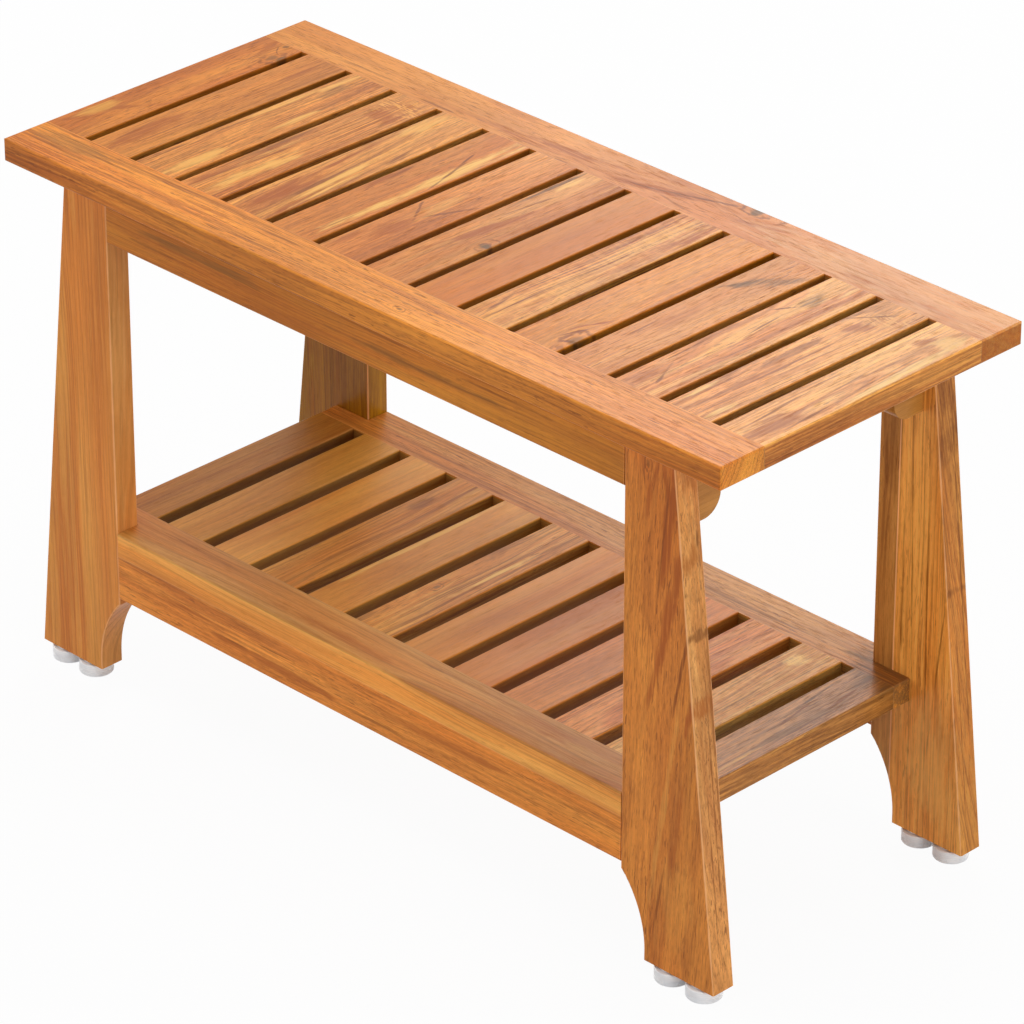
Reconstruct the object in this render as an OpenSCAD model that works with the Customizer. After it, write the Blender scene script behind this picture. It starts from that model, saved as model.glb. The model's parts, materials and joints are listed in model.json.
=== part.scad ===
// Slatted teak shower bench with a lower shelf and screw-in levelling feet.
//
// Millimetres. X runs along the bench, Y through its depth (front is -Y), Z is up.
// The origin is on the floor, under the middle of the seat, with the feet screwed right in.
//
// The seat is a frame of two long rails with slats and end boards tenoned between them.
// Under it two end frames, each two flared legs and a lugged cross rail, are tied together
// by the aprons. The shelf is a second slatted frame, notched round the legs, that sits on
// the lower aprons. Every leg stands on two screw-in feet.

/* [Seat panel] */
// Length of the seat
seat_l = 762; // [720:1:820]
// Depth of the seat, front to back
seat_d = 320; // [300:1:360]
// Height of the seat's top above the floor
seat_h = 459; // [430:1:500]
// Thickness of the seat's boards
seat_t = 19; // [18:0.5:24]
// Width of the two long seat rails
seat_rail_w = 45; // [42:0.5:52]
// Width of the two end boards of the seat
seat_end_w = 43.7; // [38:0.1:50]
// Number of slats between the seat's end boards
seat_slats = 13; // [12:1:14]
// Width of the drainage gaps in the seat
seat_gap = 7.6; // [5:0.1:10]

/* [Legs] */
// Thickness of a leg board
leg_t = 22; // [21:0.5:26]
// Width of a leg at its top
leg_top_w = 48; // [46:0.5:56]
// How far the outer edge of a leg flares out between its top and its foot
leg_flare = 47.5; // [38:0.5:52]
// From the seat's end to the upright inner edge of a leg
leg_in_x = 104; // [98:0.5:112]
// From the seat's long edge to the outer face of a leg
leg_in_y = 12; // [8:0.5:16]
// Radius of the scooped cut in the inner lower edge of a leg
scoop_r = 88; // [70:1:94]
// Depth of the scoop into the leg
scoop_d = 24.5; // [20:0.5:28]
// Straight stretch of the inner edge between the foot end and the scoop
scoop_lift = 8; // [4:0.5:12]

/* [Aprons] */
// Thickness of the four aprons
apron_t = 20; // [18:0.5:21]
// Height of the two aprons under the seat
seat_apron_h = 39.5; // [34:0.5:48]
// Height of the two aprons under the shelf
shelf_apron_h = 38.5; // [34:0.5:40]
// Gap between the end of an apron or the shelf's notch and a leg
leg_joint = 0.3; // [0.1:0.1:0.6]

/* [Cross rails] */
// Thickness of the rail that ties a front leg to a back leg
cross_t = 20; // [16:0.5:24]
// Height of the middle of a cross rail
cross_h = 38.5; // [30:0.5:44]
// From the outer top corner of a leg to the outer face of the cross rail
cross_in = 6; // [3:0.5:8]
// Height of the lug at each end of a cross rail
lug_h = 65; // [58:1:75]
// Length of a lug, out from the leg
lug_w = 33.5; // [28:0.5:45]
// Radius of the lug's lower corner
lug_r = 17; // [10:0.5:18]
// Radius where a lug meets the middle of the rail
lug_fillet_r = 8; // [4:0.5:9]

/* [Shelf] */
// Height of the shelf's top above the floor
shelf_h = 145.5; // [142:0.5:180]
// Thickness of the shelf's boards
shelf_t = 20.5; // [18:0.5:22]
// How far the shelf's ends reach past the upright inner edges of the legs
shelf_over = 38; // [30:0.5:46]
// Width of the two long shelf rails
shelf_rail_w = 40.3; // [38:0.1:48]
// Width of the two end boards of the shelf
shelf_end_w = 40; // [38:0.5:44]
// Number of slats between the shelf's end boards
shelf_slats = 10; // [9:1:11]
// Width of the drainage gaps in the shelf
shelf_gap = 13.3; // [10:0.1:15]

/* [Feet] */
// Diameter of a foot's pad
foot_d = 28; // [24:0.5:31]
// Height of a foot under the leg when it is screwed right in
foot_h = 12; // [9:0.5:16]
// Height of the collar between the pad and the leg
collar_h = 1.5; // [1:0.1:3]
// Diameter of the collar
collar_d = 20; // [16:0.5:22]
// Radius of the pad's rims
foot_rim_r = 1.2; // [0.6:0.1:2]
// Distance between the two feet of a leg
foot_pitch = 32; // [31:0.5:34]
// Diameter of a foot's threaded stem
stem_d = 7.8; // [5.8:0.1:8]
// Length of the stem above the collar
stem_l = 25; // [20:0.5:30]
// Outer diameter of the threaded insert in the leg
insert_d = 11; // [10.5:0.1:12]
// Length of the threaded insert
insert_l = 20; // [14:0.5:20]

/* [Joinery] */
// Length of the tenons on the slats, end boards and cross rails
tenon_l = 10; // [8:0.5:12]
// Thickness of the tenons on the slats and end boards
tenon_t = 8; // [6:0.5:10]
// Shoulder at each side of a slat's tenon
tenon_shoulder = 6; // [4:0.5:8]
// Thickness of a cross rail's tenon
cross_tenon_t = 10; // [8:0.5:12]
// Height of a cross rail's tenon
cross_tenon_h = 42; // [32:1:46]
// Clearance all round a tenon in its mortise
mortise_fit = 0.15; // [0.05:0.05:0.3]
// Space past the end of a tenon, a dowel or a screw
end_space = 0.5; // [0.2:0.1:1]
// Diameter of the dowels between aprons and legs
dowel_d = 8; // [6:0.5:10]
// Length of a dowel
dowel_l = 40; // [30:1:40]
// Height between the two dowels at an apron's end
dowel_pitch = 18; // [14:0.5:20]
// Clearance round a dowel, a screw's shank or an insert
bore_fit = 0.05; // [0.02:0.01:0.1]
// Diameter of a screw's shank
screw_d = 4.2; // [3.5:0.1:5]
// Diameter of a screw's head
screw_head_d = 8.4; // [7:0.1:9.4]
// Thickness of a screw's head
screw_head_t = 2.6; // [2:0.1:3.2]
// Depth of the counterbore that hides a screw's head
screw_sink = 12; // [8:0.5:14]
// Length that a screw reaches into the board above
screw_bite = 13; // [9:0.5:14]
// Diameter of the counterbore
counterbore_d = 10; // [9.5:0.1:12]
// Number of screws through an apron
apron_screws = 4; // [3:1:5]
// From an apron's end to its nearest screw
screw_in = 72; // [40:1:90]

/* [Edges] */
// Radius of the eased outer edges
edge_r = 1.3; // [1:0.1:2.5]
// Radius of the seat's corners seen from above
corner_r = 1.8; // [1.5:0.1:6]
// Radius of the edges beside the drainage gaps
slat_edge_r = 0.8; // [0.5:0.1:1.5]

/* [Hidden] */
$fn = 64;
// Overshoot of cutting shapes
over = 1;
// Clearance of a foot's stem in its insert, standing for the thread
stem_play = 0.1;
// Chamfers on a screw's head and on the tip of a foot's stem
head_chamfer = 0.6;
stem_chamfer = 1;

function two_digits(i) = str(i < 10 ? "0" : "", i);
function sided(name, side) = str(name, side < 0 ? "_left" : "_right");
function faced(name, side) = str(name, side < 0 ? "_front" : "_back");
function leg_name(sx, sy) = sided(faced("leg", sy), sx);
function foot_name(sx, sy, n) = str(sided(faced("foot", sy), sx), n < 0 ? "_inner" : "_outer");

sides = [-1, 1];

// Levels, from the floor up
leg_z0 = foot_h;
shelf_z0 = shelf_h - shelf_t;
shelf_apron_z0 = shelf_z0 - shelf_apron_h;
seat_z0 = seat_h - seat_t;
seat_apron_z0 = seat_z0 - seat_apron_h;
leg_len = seat_z0 - leg_z0;

// Leg, measured along X from the middle of the bench
leg_x0 = seat_l / 2 - leg_in_x;
leg_x1 = leg_x0 + leg_top_w;
flare_angle = atan(leg_flare / leg_len);
foot_mid_x = leg_x0 + (scoop_d + leg_top_w + leg_flare) / 2;

// Leg, apron and foot, measured along Y from the middle of the bench
leg_y1 = seat_d / 2 - leg_in_y;
leg_y0 = leg_y1 - leg_t;
apron_y = leg_y1 - apron_t / 2;
foot_y = leg_y1 - leg_t / 2;

// Panels
seat_slat_w = (seat_l - 2 * seat_end_w - (seat_slats + 1) * seat_gap) / seat_slats;
seat_inner_y = seat_d / 2 - seat_rail_w;
shelf_l = 2 * (leg_x0 + shelf_over);
shelf_slat_w = (shelf_l - 2 * shelf_end_w - (shelf_slats + 1) * shelf_gap) / shelf_slats;
shelf_inner_y = leg_y1 - shelf_rail_w;
shelf_notch_x = leg_x0 - leg_joint;
shelf_notch_y = leg_y0 - leg_joint;
apron_l = 2 * (leg_x0 - leg_joint);

// Cross rail
cross_x1 = leg_x1 - cross_in;
cross_mid_x = cross_x1 - cross_t / 2;
cross_tenon_z = seat_z0 - lug_h / 2;

// Aprons' middles, and the screws up through the aprons and the cross rails
seat_apron_mid_z = seat_apron_z0 + seat_apron_h / 2;
shelf_apron_mid_z = shelf_apron_z0 + shelf_apron_h / 2;
screw_x1 = apron_l / 2 - screw_in;
screw_xs = [for (i = [0:apron_screws - 1]) screw_x1 * (2 * i / (apron_screws - 1) - 1)];
cross_screw_y = (leg_y0 - lug_w) / 2;
seat_screw_l = seat_apron_h - screw_sink + screw_bite;
cross_screw_l = cross_h - screw_sink + screw_bite;
shelf_screw_l = shelf_apron_h - screw_sink + screw_bite;

function seat_slat_x(i) = -seat_l / 2 + seat_end_w + i * seat_gap + (i - 0.5) * seat_slat_w;
function shelf_slat_x(i) = -shelf_l / 2 + shelf_end_w + i * shelf_gap + (i - 0.5) * shelf_slat_w;

// ---------------------------------------------------------------- outlines

// What a rounding of radius r takes off a corner that points to -X, -Y
module corner_waste(r) {
    difference() {
        translate([-over, -over]) square(r + over);
        translate([r, r]) circle(r);
    }
}

// Rectangle centred on the origin. r holds the radii of the corners, from
// lower left round through lower right and upper right to upper left.
module eased_rect(w, h, r) {
    difference() {
        square([w, h], center = true);
        if (r[0] > 0) translate([-w / 2, -h / 2]) corner_waste(r[0]);
        if (r[1] > 0) translate([w / 2, -h / 2]) rotate(90) corner_waste(r[1]);
        if (r[2] > 0) translate([w / 2, h / 2]) rotate(180) corner_waste(r[2]);
        if (r[3] > 0) translate([-w / 2, h / 2]) rotate(270) corner_waste(r[3]);
    }
}

// ---------------------------------------------------------------- boards

// Extrudes an outline drawn in (Y, Z) along X, and one drawn in (X, Z) along Y
module along_x(l) rotate([90, 0, 90]) linear_extrude(l, center = true) children();
module along_y(l) rotate([90, 0, 0]) linear_extrude(l, center = true) children();

// Box centred on the origin
module block(size) cube(size, center = true);

// Slat or end board along Y with a tenon at each end. r0 eases the edges
// at -X and r1 those at +X.
module cross_board(w, t, l, r0, r1) {
    along_y(l) eased_rect(w, t, [r0, r1, r1, r0]);
    block([w - 2 * tenon_shoulder, l + 2 * tenon_l, tenon_t]);
}

// Mortise for a cross_board's tenon, at the origin, opening towards -Y
module board_mortise(w) {
    deep = tenon_l + end_space;
    translate([0, (deep - over) / 2, 0])
        block([w - 2 * tenon_shoulder + 2 * mortise_fit, deep + over, tenon_t + 2 * mortise_fit]);
}

// Mortises along a rail's inner edge: one for each slat and each end board
module panel_mortises(inner_y, z, end_x, end_w, slat_xs, slat_w) {
    for (sx = sides) translate([sx * end_x, inner_y, z]) board_mortise(end_w);
    for (x = slat_xs) translate([x, inner_y, z]) board_mortise(slat_w);
}

// Waste of a rounding along a straight edge of length l that rises along Z,
// on a corner that points to -X, -Y
module edge_waste(r, l) linear_extrude(l, center = true) corner_waste(r);

// Mirrors what is drawn at the back right to the corner, end or side asked for
module place(sx, sy) mirror([sx < 0 ? 1 : 0, 0, 0]) mirror([0, sy < 0 ? 1 : 0, 0]) children();

// ---------------------------------------------------------------- fasteners

// Wood screw that points up, with the underside of its head at z = 0
module wood_screw(l) {
    tip = screw_d;
    rotate_extrude() polygon([
        [0, -screw_head_t], [screw_head_d / 2 - head_chamfer, -screw_head_t],
        [screw_head_d / 2, -screw_head_t + head_chamfer], [screw_head_d / 2, 0],
        [screw_d / 2, 0], [screw_d / 2, l - tip], [0, l],
    ]);
}

// Counterbored hole for that screw: z = 0 is where the head seats
module screw_hole(l) {
    translate([0, 0, -screw_sink - over])
        cylinder(d = counterbore_d, h = screw_sink + over);
    cylinder(d = screw_d + 2 * bore_fit, h = l + end_space);
}

// Where the screws of the seat stand, and those of the shelf
module at_seat_screws() {
    for (x = screw_xs, sy = sides) translate([x, sy * apron_y, seat_apron_z0 + screw_sink]) children();
}

module at_cross_screws() {
    for (sx = sides, sy = sides)
        translate([sx * cross_mid_x, sy * cross_screw_y, seat_z0 - cross_h + screw_sink]) children();
}

module at_shelf_screws() {
    for (x = screw_xs, sy = sides) translate([x, sy * apron_y, shelf_apron_z0 + screw_sink]) children();
}

// Where the dowels lie: along X, centred on the joint between apron and leg
module at_dowels(sy, apron_z) {
    for (sx = sides, k = sides)
        translate([sx * leg_x0, sy * apron_y, apron_z + k * dowel_pitch / 2])
            rotate([0, 90, 0]) children();
}

module dowel() cylinder(d = dowel_d, h = dowel_l, center = true);
module dowel_bore() cylinder(d = dowel_d + 2 * bore_fit, h = dowel_l + 2 * end_space, center = true);

module all_dowel_bores() {
    for (sy = sides) {
        at_dowels(sy, seat_apron_mid_z) dowel_bore();
        at_dowels(sy, shelf_apron_mid_z) dowel_bore();
    }
}

// ---------------------------------------------------------------- seat

// Long rail, with its outer edges, its ends and the two corners of the seat eased
module seat_rail(sy) {
    mid_z = seat_z0 + seat_t / 2;
    color("peru") place(1, sy) difference() {
        translate([0, (seat_d - seat_rail_w) / 2, mid_z]) intersection() {
            along_x(seat_l) eased_rect(seat_rail_w, seat_t, [0, edge_r, edge_r, 0]);
            along_y(seat_rail_w) eased_rect(seat_l, seat_t, edge_r * [1, 1, 1, 1]);
            linear_extrude(seat_t, center = true)
                eased_rect(seat_l, seat_rail_w, corner_r * [0, 0, 1, 1]);
        }
        panel_mortises(seat_inner_y, mid_z, (seat_l - seat_end_w) / 2, seat_end_w,
            [for (i = [1:seat_slats]) seat_slat_x(i)], seat_slat_w);
        at_seat_screws() screw_hole(seat_screw_l);
    }
}

module seat_end(sx) {
    color("sandybrown") place(sx, 1) translate([(seat_l - seat_end_w) / 2, 0, seat_z0 + seat_t / 2])
        cross_board(seat_end_w, seat_t, 2 * seat_inner_y, slat_edge_r, edge_r);
}

// The outermost slats take the cross rails' screws
module seat_slat(i) {
    color(i % 2 == 0 ? "peru" : "sandybrown") difference() {
        translate([seat_slat_x(i), 0, seat_z0 + seat_t / 2])
            cross_board(seat_slat_w, seat_t, 2 * seat_inner_y, slat_edge_r, slat_edge_r);
        at_cross_screws() screw_hole(cross_screw_l);
    }
}

// ---------------------------------------------------------------- shelf

// Long rail of the shelf, notched at both ends round the legs
module shelf_rail(sy) {
    mid_z = shelf_z0 + shelf_t / 2;
    color("sienna") place(1, sy) difference() {
        translate([0, leg_y1 - shelf_rail_w / 2, mid_z]) intersection() {
            along_x(shelf_l) eased_rect(shelf_rail_w, shelf_t, [0, 0, edge_r, 0]);
            along_y(shelf_rail_w) eased_rect(shelf_l, shelf_t, edge_r * [1, 1, 1, 1]);
        }
        for (sx = sides) translate([sx * (shelf_notch_x + shelf_l / 2), shelf_notch_y + leg_t, shelf_h])
            block([shelf_l, 2 * leg_t, 3 * shelf_t]);
        panel_mortises(shelf_inner_y, mid_z, (shelf_l - shelf_end_w) / 2, shelf_end_w,
            [for (i = [1:shelf_slats]) shelf_slat_x(i)], shelf_slat_w);
        at_shelf_screws() screw_hole(shelf_screw_l);
    }
}

module shelf_end(sx) {
    color("sienna") place(sx, 1) translate([(shelf_l - shelf_end_w) / 2, 0, shelf_z0 + shelf_t / 2])
        cross_board(shelf_end_w, shelf_t, 2 * shelf_inner_y, slat_edge_r, edge_r);
}

module shelf_slat(i) {
    color(i % 2 == 0 ? "sienna" : "peru")
        translate([shelf_slat_x(i), 0, shelf_z0 + shelf_t / 2])
            cross_board(shelf_slat_w, shelf_t, 2 * shelf_inner_y, slat_edge_r, slat_edge_r);
}

// ---------------------------------------------------------------- legs

// Outline of a leg in (X, Z): upright inside, flared outside, scooped at the foot
module leg_outline() {
    difference() {
        polygon([
            [leg_x0, leg_z0], [leg_x1 + leg_flare, leg_z0],
            [leg_x1, seat_z0], [leg_x0, seat_z0],
        ]);
        translate([leg_x0 + scoop_d - scoop_r, leg_z0 + scoop_lift]) circle(scoop_r);
        translate([leg_x0 - over, leg_z0 - over]) square([scoop_d + over, scoop_lift + over]);
    }
}

// Waste of the roundings on the edges of a leg's face at -Y: the upright edge,
// the flared edge, the scoop and the short edge below it
module leg_edge_waste() {
    translate([leg_x0, 0, leg_z0 + leg_len / 2]) edge_waste(edge_r, 2 * leg_len);
    translate([leg_x1, 0, seat_z0]) rotate([0, -flare_angle, 0]) rotate(90)
        edge_waste(edge_r, 3 * leg_len);
    translate([leg_x0 + scoop_d, 0, leg_z0]) edge_waste(edge_r, 2 * scoop_lift);
    intersection() {
        translate([leg_x0 + scoop_d - scoop_r, 0, leg_z0 + scoop_lift]) rotate([-90, 0, 0])
            rotate_extrude() translate([scoop_r, 0]) corner_waste(edge_r);
        translate([leg_x0, -leg_t, leg_z0 + scoop_lift]) cube([scoop_r, 2 * leg_t, scoop_r]);
    }
}

// The back right leg, which the others mirror
module back_right_leg() {
    difference() {
        translate([0, foot_y, 0]) along_y(leg_t) leg_outline();
        for (sy = sides) translate([0, foot_y, 0]) place(1, sy)
            translate([0, -leg_t / 2, 0]) leg_edge_waste();
        // mortise for the cross rail's tenon
        translate([cross_mid_x, leg_y0 + (tenon_l + end_space - over) / 2, cross_tenon_z])
            block([cross_tenon_t + 2 * mortise_fit, tenon_l + end_space + over,
                cross_tenon_h + 2 * mortise_fit]);
        // bores for the foot inserts, and for the dowels of both aprons
        for (n = sides) translate([foot_mid_x + n * foot_pitch / 2, foot_y, leg_z0 - over]) {
            cylinder(d = insert_d + 2 * bore_fit, h = insert_l + over);
            cylinder(d = stem_d + 2 * stem_play, h = stem_l + end_space + over);
        }
        all_dowel_bores();
    }
}

module leg(sx, sy) color("chocolate") place(sx, sy) back_right_leg();

// ---------------------------------------------------------------- aprons and cross rails

// Board between two legs, flush with their outer faces. The two screws' rows
// and the dowels are cut from the same places as in the boards that they join.
module apron(sy, z0, h) {
    difference() {
        translate([0, sy * apron_y, z0 + h / 2])
            along_x(apron_l) eased_rect(apron_t, h, [edge_r, edge_r, 0, 0]);
        all_dowel_bores();
        at_seat_screws() screw_hole(seat_screw_l);
        at_shelf_screws() screw_hole(shelf_screw_l);
    }
}

module seat_apron(sy) color("peru") apron(sy, seat_apron_z0, seat_apron_h);
module shelf_apron(sy) color("peru") apron(sy, shelf_apron_z0, shelf_apron_h);

// Outline of a cross rail in (Y, Z): a shallow middle with a rounded lug at each leg
module cross_outline() {
    translate([-leg_y0, seat_z0 - cross_h]) square([2 * leg_y0, cross_h]);
    for (sy = sides) mirror([sy < 0 ? 1 : 0, 0]) {
        translate([leg_y0 - lug_w, seat_z0 - lug_h]) difference() {
            square([lug_w, lug_h - over]);
            corner_waste(lug_r);
        }
        translate([leg_y0 - lug_w - lug_fillet_r, seat_z0 - cross_h - lug_fillet_r]) difference() {
            square(lug_fillet_r + over);
            circle(lug_fillet_r);
        }
    }
}

module cross_rail(sx) {
    color("saddlebrown") difference() {
        translate([sx * cross_mid_x, 0, 0]) {
            along_x(cross_t) cross_outline();
            for (sy = sides) translate([0, sy * (leg_y0 + (tenon_l - over) / 2), cross_tenon_z])
                block([cross_tenon_t, tenon_l + over, cross_tenon_h]);
        }
        at_cross_screws() screw_hole(cross_screw_l);
    }
}

// ---------------------------------------------------------------- feet

// Revolved outline of a foot, (radius, height) from the pad's underside to the stem's tip
module foot_outline() {
    r = foot_d / 2;
    pad_h = foot_h - collar_h;
    difference() {
        square([r, pad_h]);
        translate([r, 0]) rotate(90) corner_waste(foot_rim_r);
        translate([r, pad_h]) rotate(180) corner_waste(foot_rim_r);
    }
    translate([0, pad_h - over]) square([collar_d / 2, collar_h + over]);
    polygon([
        [0, foot_h - over], [stem_d / 2, foot_h - over],
        [stem_d / 2, foot_h + stem_l - stem_chamfer],
        [stem_d / 2 - stem_chamfer, foot_h + stem_l], [0, foot_h + stem_l],
    ]);
}

// One-piece foot: a smooth pad, a collar and a threaded stem
module foot(sx, sy, n) {
    color("gainsboro") translate([sx * (foot_mid_x + n * foot_pitch / 2), sy * foot_y, 0])
        rotate_extrude() foot_outline();
}

// Threaded inserts in the feet of the legs
module foot_inserts() {
    color("darkgoldenrod")
        for (sx = sides, sy = sides, n = sides)
            translate([sx * (foot_mid_x + n * foot_pitch / 2), sy * foot_y, leg_z0])
                difference() {
                    cylinder(d = insert_d, h = insert_l);
                    translate([0, 0, -over]) cylinder(d = stem_d + 2 * stem_play, h = insert_l + 2 * over);
                }
}

module apron_dowels() {
    color("burlywood") for (sy = sides) {
        at_dowels(sy, seat_apron_mid_z) dowel();
        at_dowels(sy, shelf_apron_mid_z) dowel();
    }
}

module seat_screws() {
    color("silver") {
        at_seat_screws() wood_screw(seat_screw_l);
        at_cross_screws() wood_screw(cross_screw_l);
    }
}

module shelf_screws() {
    color("silver") at_shelf_screws() wood_screw(shelf_screw_l);
}

// ---------------------------------------------------------------- the bench

for (sy = sides) seat_rail(sy);
for (sx = sides) seat_end(sx);
for (i = [1:seat_slats]) seat_slat(i);
for (sy = sides) shelf_rail(sy);
for (sx = sides) shelf_end(sx);
for (i = [1:shelf_slats]) shelf_slat(i);
for (sx = sides, sy = sides) leg(sx, sy);
for (sy = sides) seat_apron(sy);
for (sy = sides) shelf_apron(sy);
for (sx = sides) cross_rail(sx);
for (sx = sides, sy = sides, n = sides)
    foot(sx, sy, n);
foot_inserts();
apron_dowels();
seat_screws();
shelf_screws();
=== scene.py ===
"""Looks of a slatted teak shower bench with a lower shelf and screw-in feet.

The boards keep their own solids and are dressed board by board in oiled and
lacquered teak. The screw-in feet and the wood screws are modelled here, with
their threads and recesses. All sizes are in metres, in the part's own frame:
X runs along the bench, Y through its depth with the front at -Y, and Z is up.
"""

import json
import logging
import math
from dataclasses import dataclass, field
from enum import Enum
from functools import partial
from typing import Any, Callable, Iterable, Sequence

import bpy
from mathutils import Matrix, Vector

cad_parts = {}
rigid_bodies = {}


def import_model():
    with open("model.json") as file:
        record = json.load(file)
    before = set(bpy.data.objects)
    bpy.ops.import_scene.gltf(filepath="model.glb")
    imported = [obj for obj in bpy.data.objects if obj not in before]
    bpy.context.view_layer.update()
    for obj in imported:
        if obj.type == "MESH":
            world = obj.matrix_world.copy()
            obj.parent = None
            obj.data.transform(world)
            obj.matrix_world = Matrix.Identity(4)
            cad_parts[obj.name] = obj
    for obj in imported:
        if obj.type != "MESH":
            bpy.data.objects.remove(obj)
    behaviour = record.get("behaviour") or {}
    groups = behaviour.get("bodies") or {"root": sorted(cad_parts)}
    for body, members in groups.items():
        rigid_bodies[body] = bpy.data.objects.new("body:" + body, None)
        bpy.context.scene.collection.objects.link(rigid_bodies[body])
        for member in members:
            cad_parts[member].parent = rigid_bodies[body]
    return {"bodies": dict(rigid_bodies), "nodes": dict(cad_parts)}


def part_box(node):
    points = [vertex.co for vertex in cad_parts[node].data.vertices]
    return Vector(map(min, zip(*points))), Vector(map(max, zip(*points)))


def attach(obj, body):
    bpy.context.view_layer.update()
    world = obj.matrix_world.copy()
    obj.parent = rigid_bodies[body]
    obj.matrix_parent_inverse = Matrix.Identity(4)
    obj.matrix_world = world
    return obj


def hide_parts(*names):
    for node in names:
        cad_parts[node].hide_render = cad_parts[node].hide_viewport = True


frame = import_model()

LOG = logging.getLogger("bench")
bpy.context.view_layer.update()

Colour = tuple[float, float, float]
Point = tuple[float, float, float]

MM = 0.001
"""One millimetre in metres."""

PLAIN: Colour = (1.0, 1.0, 1.0)
"""A tint that changes nothing, and the colour of white light."""

LUMA: Colour = (0.2126, 0.7152, 0.0722)
"""How much each channel adds to a colour's brightness."""


# ---------------------------------------------------------------- options


class Grain(Enum):
    """How a board's own axes lie: along the grain, across its width, through it.

    Each value holds three rows, the bench's direction that each board axis takes.
    """

    RAIL_FLAT = ((1, 0, 0), (0, 1, 0), (0, 0, 1))
    RAIL_UPRIGHT = ((1, 0, 0), (0, 0, 1), (0, -1, 0))
    SLAT = ((0, 1, 0), (-1, 0, 0), (0, 0, 1))
    LEG = ((0, 0, 1), (1, 0, 0), (0, 1, 0))
    CROSS = ((0, 1, 0), (0, 0, 1), (1, 0, 0))

    def matrix(self) -> Matrix:
        """Rotation from the bench's axes to the board's."""
        return Matrix(self.value)


class Side(Enum):
    """A side of a board: the bench's axis it faces along, and which way."""

    LEFT = (0, -1.0)
    RIGHT = (0, 1.0)
    FRONT = (1, -1.0)
    BACK = (1, 1.0)


class Tone(Enum):
    """The timber's tones, from pale sapwood to smoky heartwood."""

    STRAW = "straw"
    HONEY = "honey"
    AMBER = "amber"
    RUSSET = "russet"
    SMOKE = "smoke"
    OLIVE = "olive"


@dataclass(frozen=True)
class Palette:
    """Four linear colours of one tone of teak."""

    pale: Colour
    body: Colour
    dark: Colour
    streak: Colour


GAP_SHADE: Colour = (0.61, 0.78, 1.05)
# Painted shade on a board's side inside a drainage gap of the seat, which dulls its colour.
"""What dulls a board's side inside a drainage gap of the seat."""

SHELF_GAP_SHADE: Colour = (0.50, 0.56, 0.74)
# The same painted shade for the shelf's gaps, which are wider and see less light.
"""The same for the shelf's gaps, which are wider and see less light."""


def srgb(red: float, green: float, blue: float) -> Colour:
    """Turns display values from 0 to 255 into a linear colour.

    Args:
        red: Display red.
        green: Display green.
        blue: Display blue.

    Returns:
        The linear colour.
    """

    def linear(value: float) -> float:
        """One channel in linear light."""
        share = value / 255.0
        return share / 12.92 if share <= 0.04045 else ((share + 0.055) / 1.055) ** 2.4

    return linear(red), linear(green), linear(blue)


PALETTES: dict[Tone, Palette] = {
    Tone.STRAW: Palette(srgb(250, 190, 98), srgb(234, 152, 64), srgb(196, 115, 46), srgb(144, 80, 31)),
    Tone.HONEY: Palette(srgb(244, 172, 78), srgb(224, 133, 47), srgb(184, 100, 34), srgb(134, 70, 25)),
    Tone.AMBER: Palette(srgb(238, 159, 64), srgb(216, 123, 38), srgb(178, 94, 29), srgb(130, 66, 22)),
    Tone.RUSSET: Palette(srgb(222, 146, 66), srgb(200, 117, 44), srgb(162, 90, 33), srgb(118, 64, 26)),
    Tone.SMOKE: Palette(srgb(204, 142, 70), srgb(176, 113, 49), srgb(142, 86, 38), srgb(102, 60, 28)),
    Tone.OLIVE: Palette(srgb(178, 138, 66), srgb(158, 116, 50), srgb(138, 97, 40), srgb(104, 70, 32)),
}


class Stain(Enum):
    """What a local mark in a board is: heartwood, sapwood, a mineral stain or a painted sheen; a few dark and
    slate marks also stand for painted shade.
    """

    DARK = srgb(140, 75, 18)
    STRAW = srgb(250, 190, 96)
    RUST = srgb(176, 92, 24)
    SLATE = srgb(120, 82, 44)
    # the pale colour of a painted sheen
    PAINTED_SHEEN = srgb(252, 198, 138)


@dataclass(frozen=True)
class Mark:
    """A patch of other colour in a board, in the board's own axes from its middle.

    Its lengths are in millimetres.

    Attributes:
        stain: What it is.
        along: Place along the grain.
        across: Place across the board's width.
        length: Half its length along the grain.
        width: Half its width.
        strength: How strongly it shows, from 0 to 1.
        lean: How far it strays across for each unit along.
        through: Place through the board's thickness.
        depth: Half its depth through the board.
        ripple: How strongly the grain curls in it, from 0 to 1.
    """

    stain: Stain
    along: float
    across: float
    length: float = 30.0
    width: float = 6.0
    strength: float = 0.7
    lean: float = 0.0
    through: float = 0.0
    depth: float = 50.0
    ripple: float = 0.0


dark = partial(Mark, Stain.DARK)
straw = partial(Mark, Stain.STRAW)
rust = partial(Mark, Stain.RUST)
slate = partial(Mark, Stain.SLATE)
painted_sheen = partial(Mark, Stain.PAINTED_SHEEN)


@dataclass(frozen=True)
class Knot:
    """A knot in a board, in the board's own axes from its middle.

    Its place and radius are in millimetres.

    Attributes:
        along: Place along the grain.
        across: Place across the board's width.
        radius: Radius of the knot's dark heart.
        reach: How many radii the grain bends round it.
        dark: How dark the heart is, from 0 to 1.
    """

    along: float
    across: float
    radius: float = 5.0
    reach: float = 3.0
    dark: float = 0.8


@dataclass(frozen=True)
class Strip:
    """A band of other colour along the low side of a board, with its figure moved.

    Attributes:
        across: Place of the band's edge across the board.
        tint: Colour of the band beside the board's.
        line: How strongly the pale line along the band's edge shows.
        shift: How far the band's figure is moved along the grain.
    """

    across: float
    tint: Colour
    line: float = 0.5
    shift: float = 0.37


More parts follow.
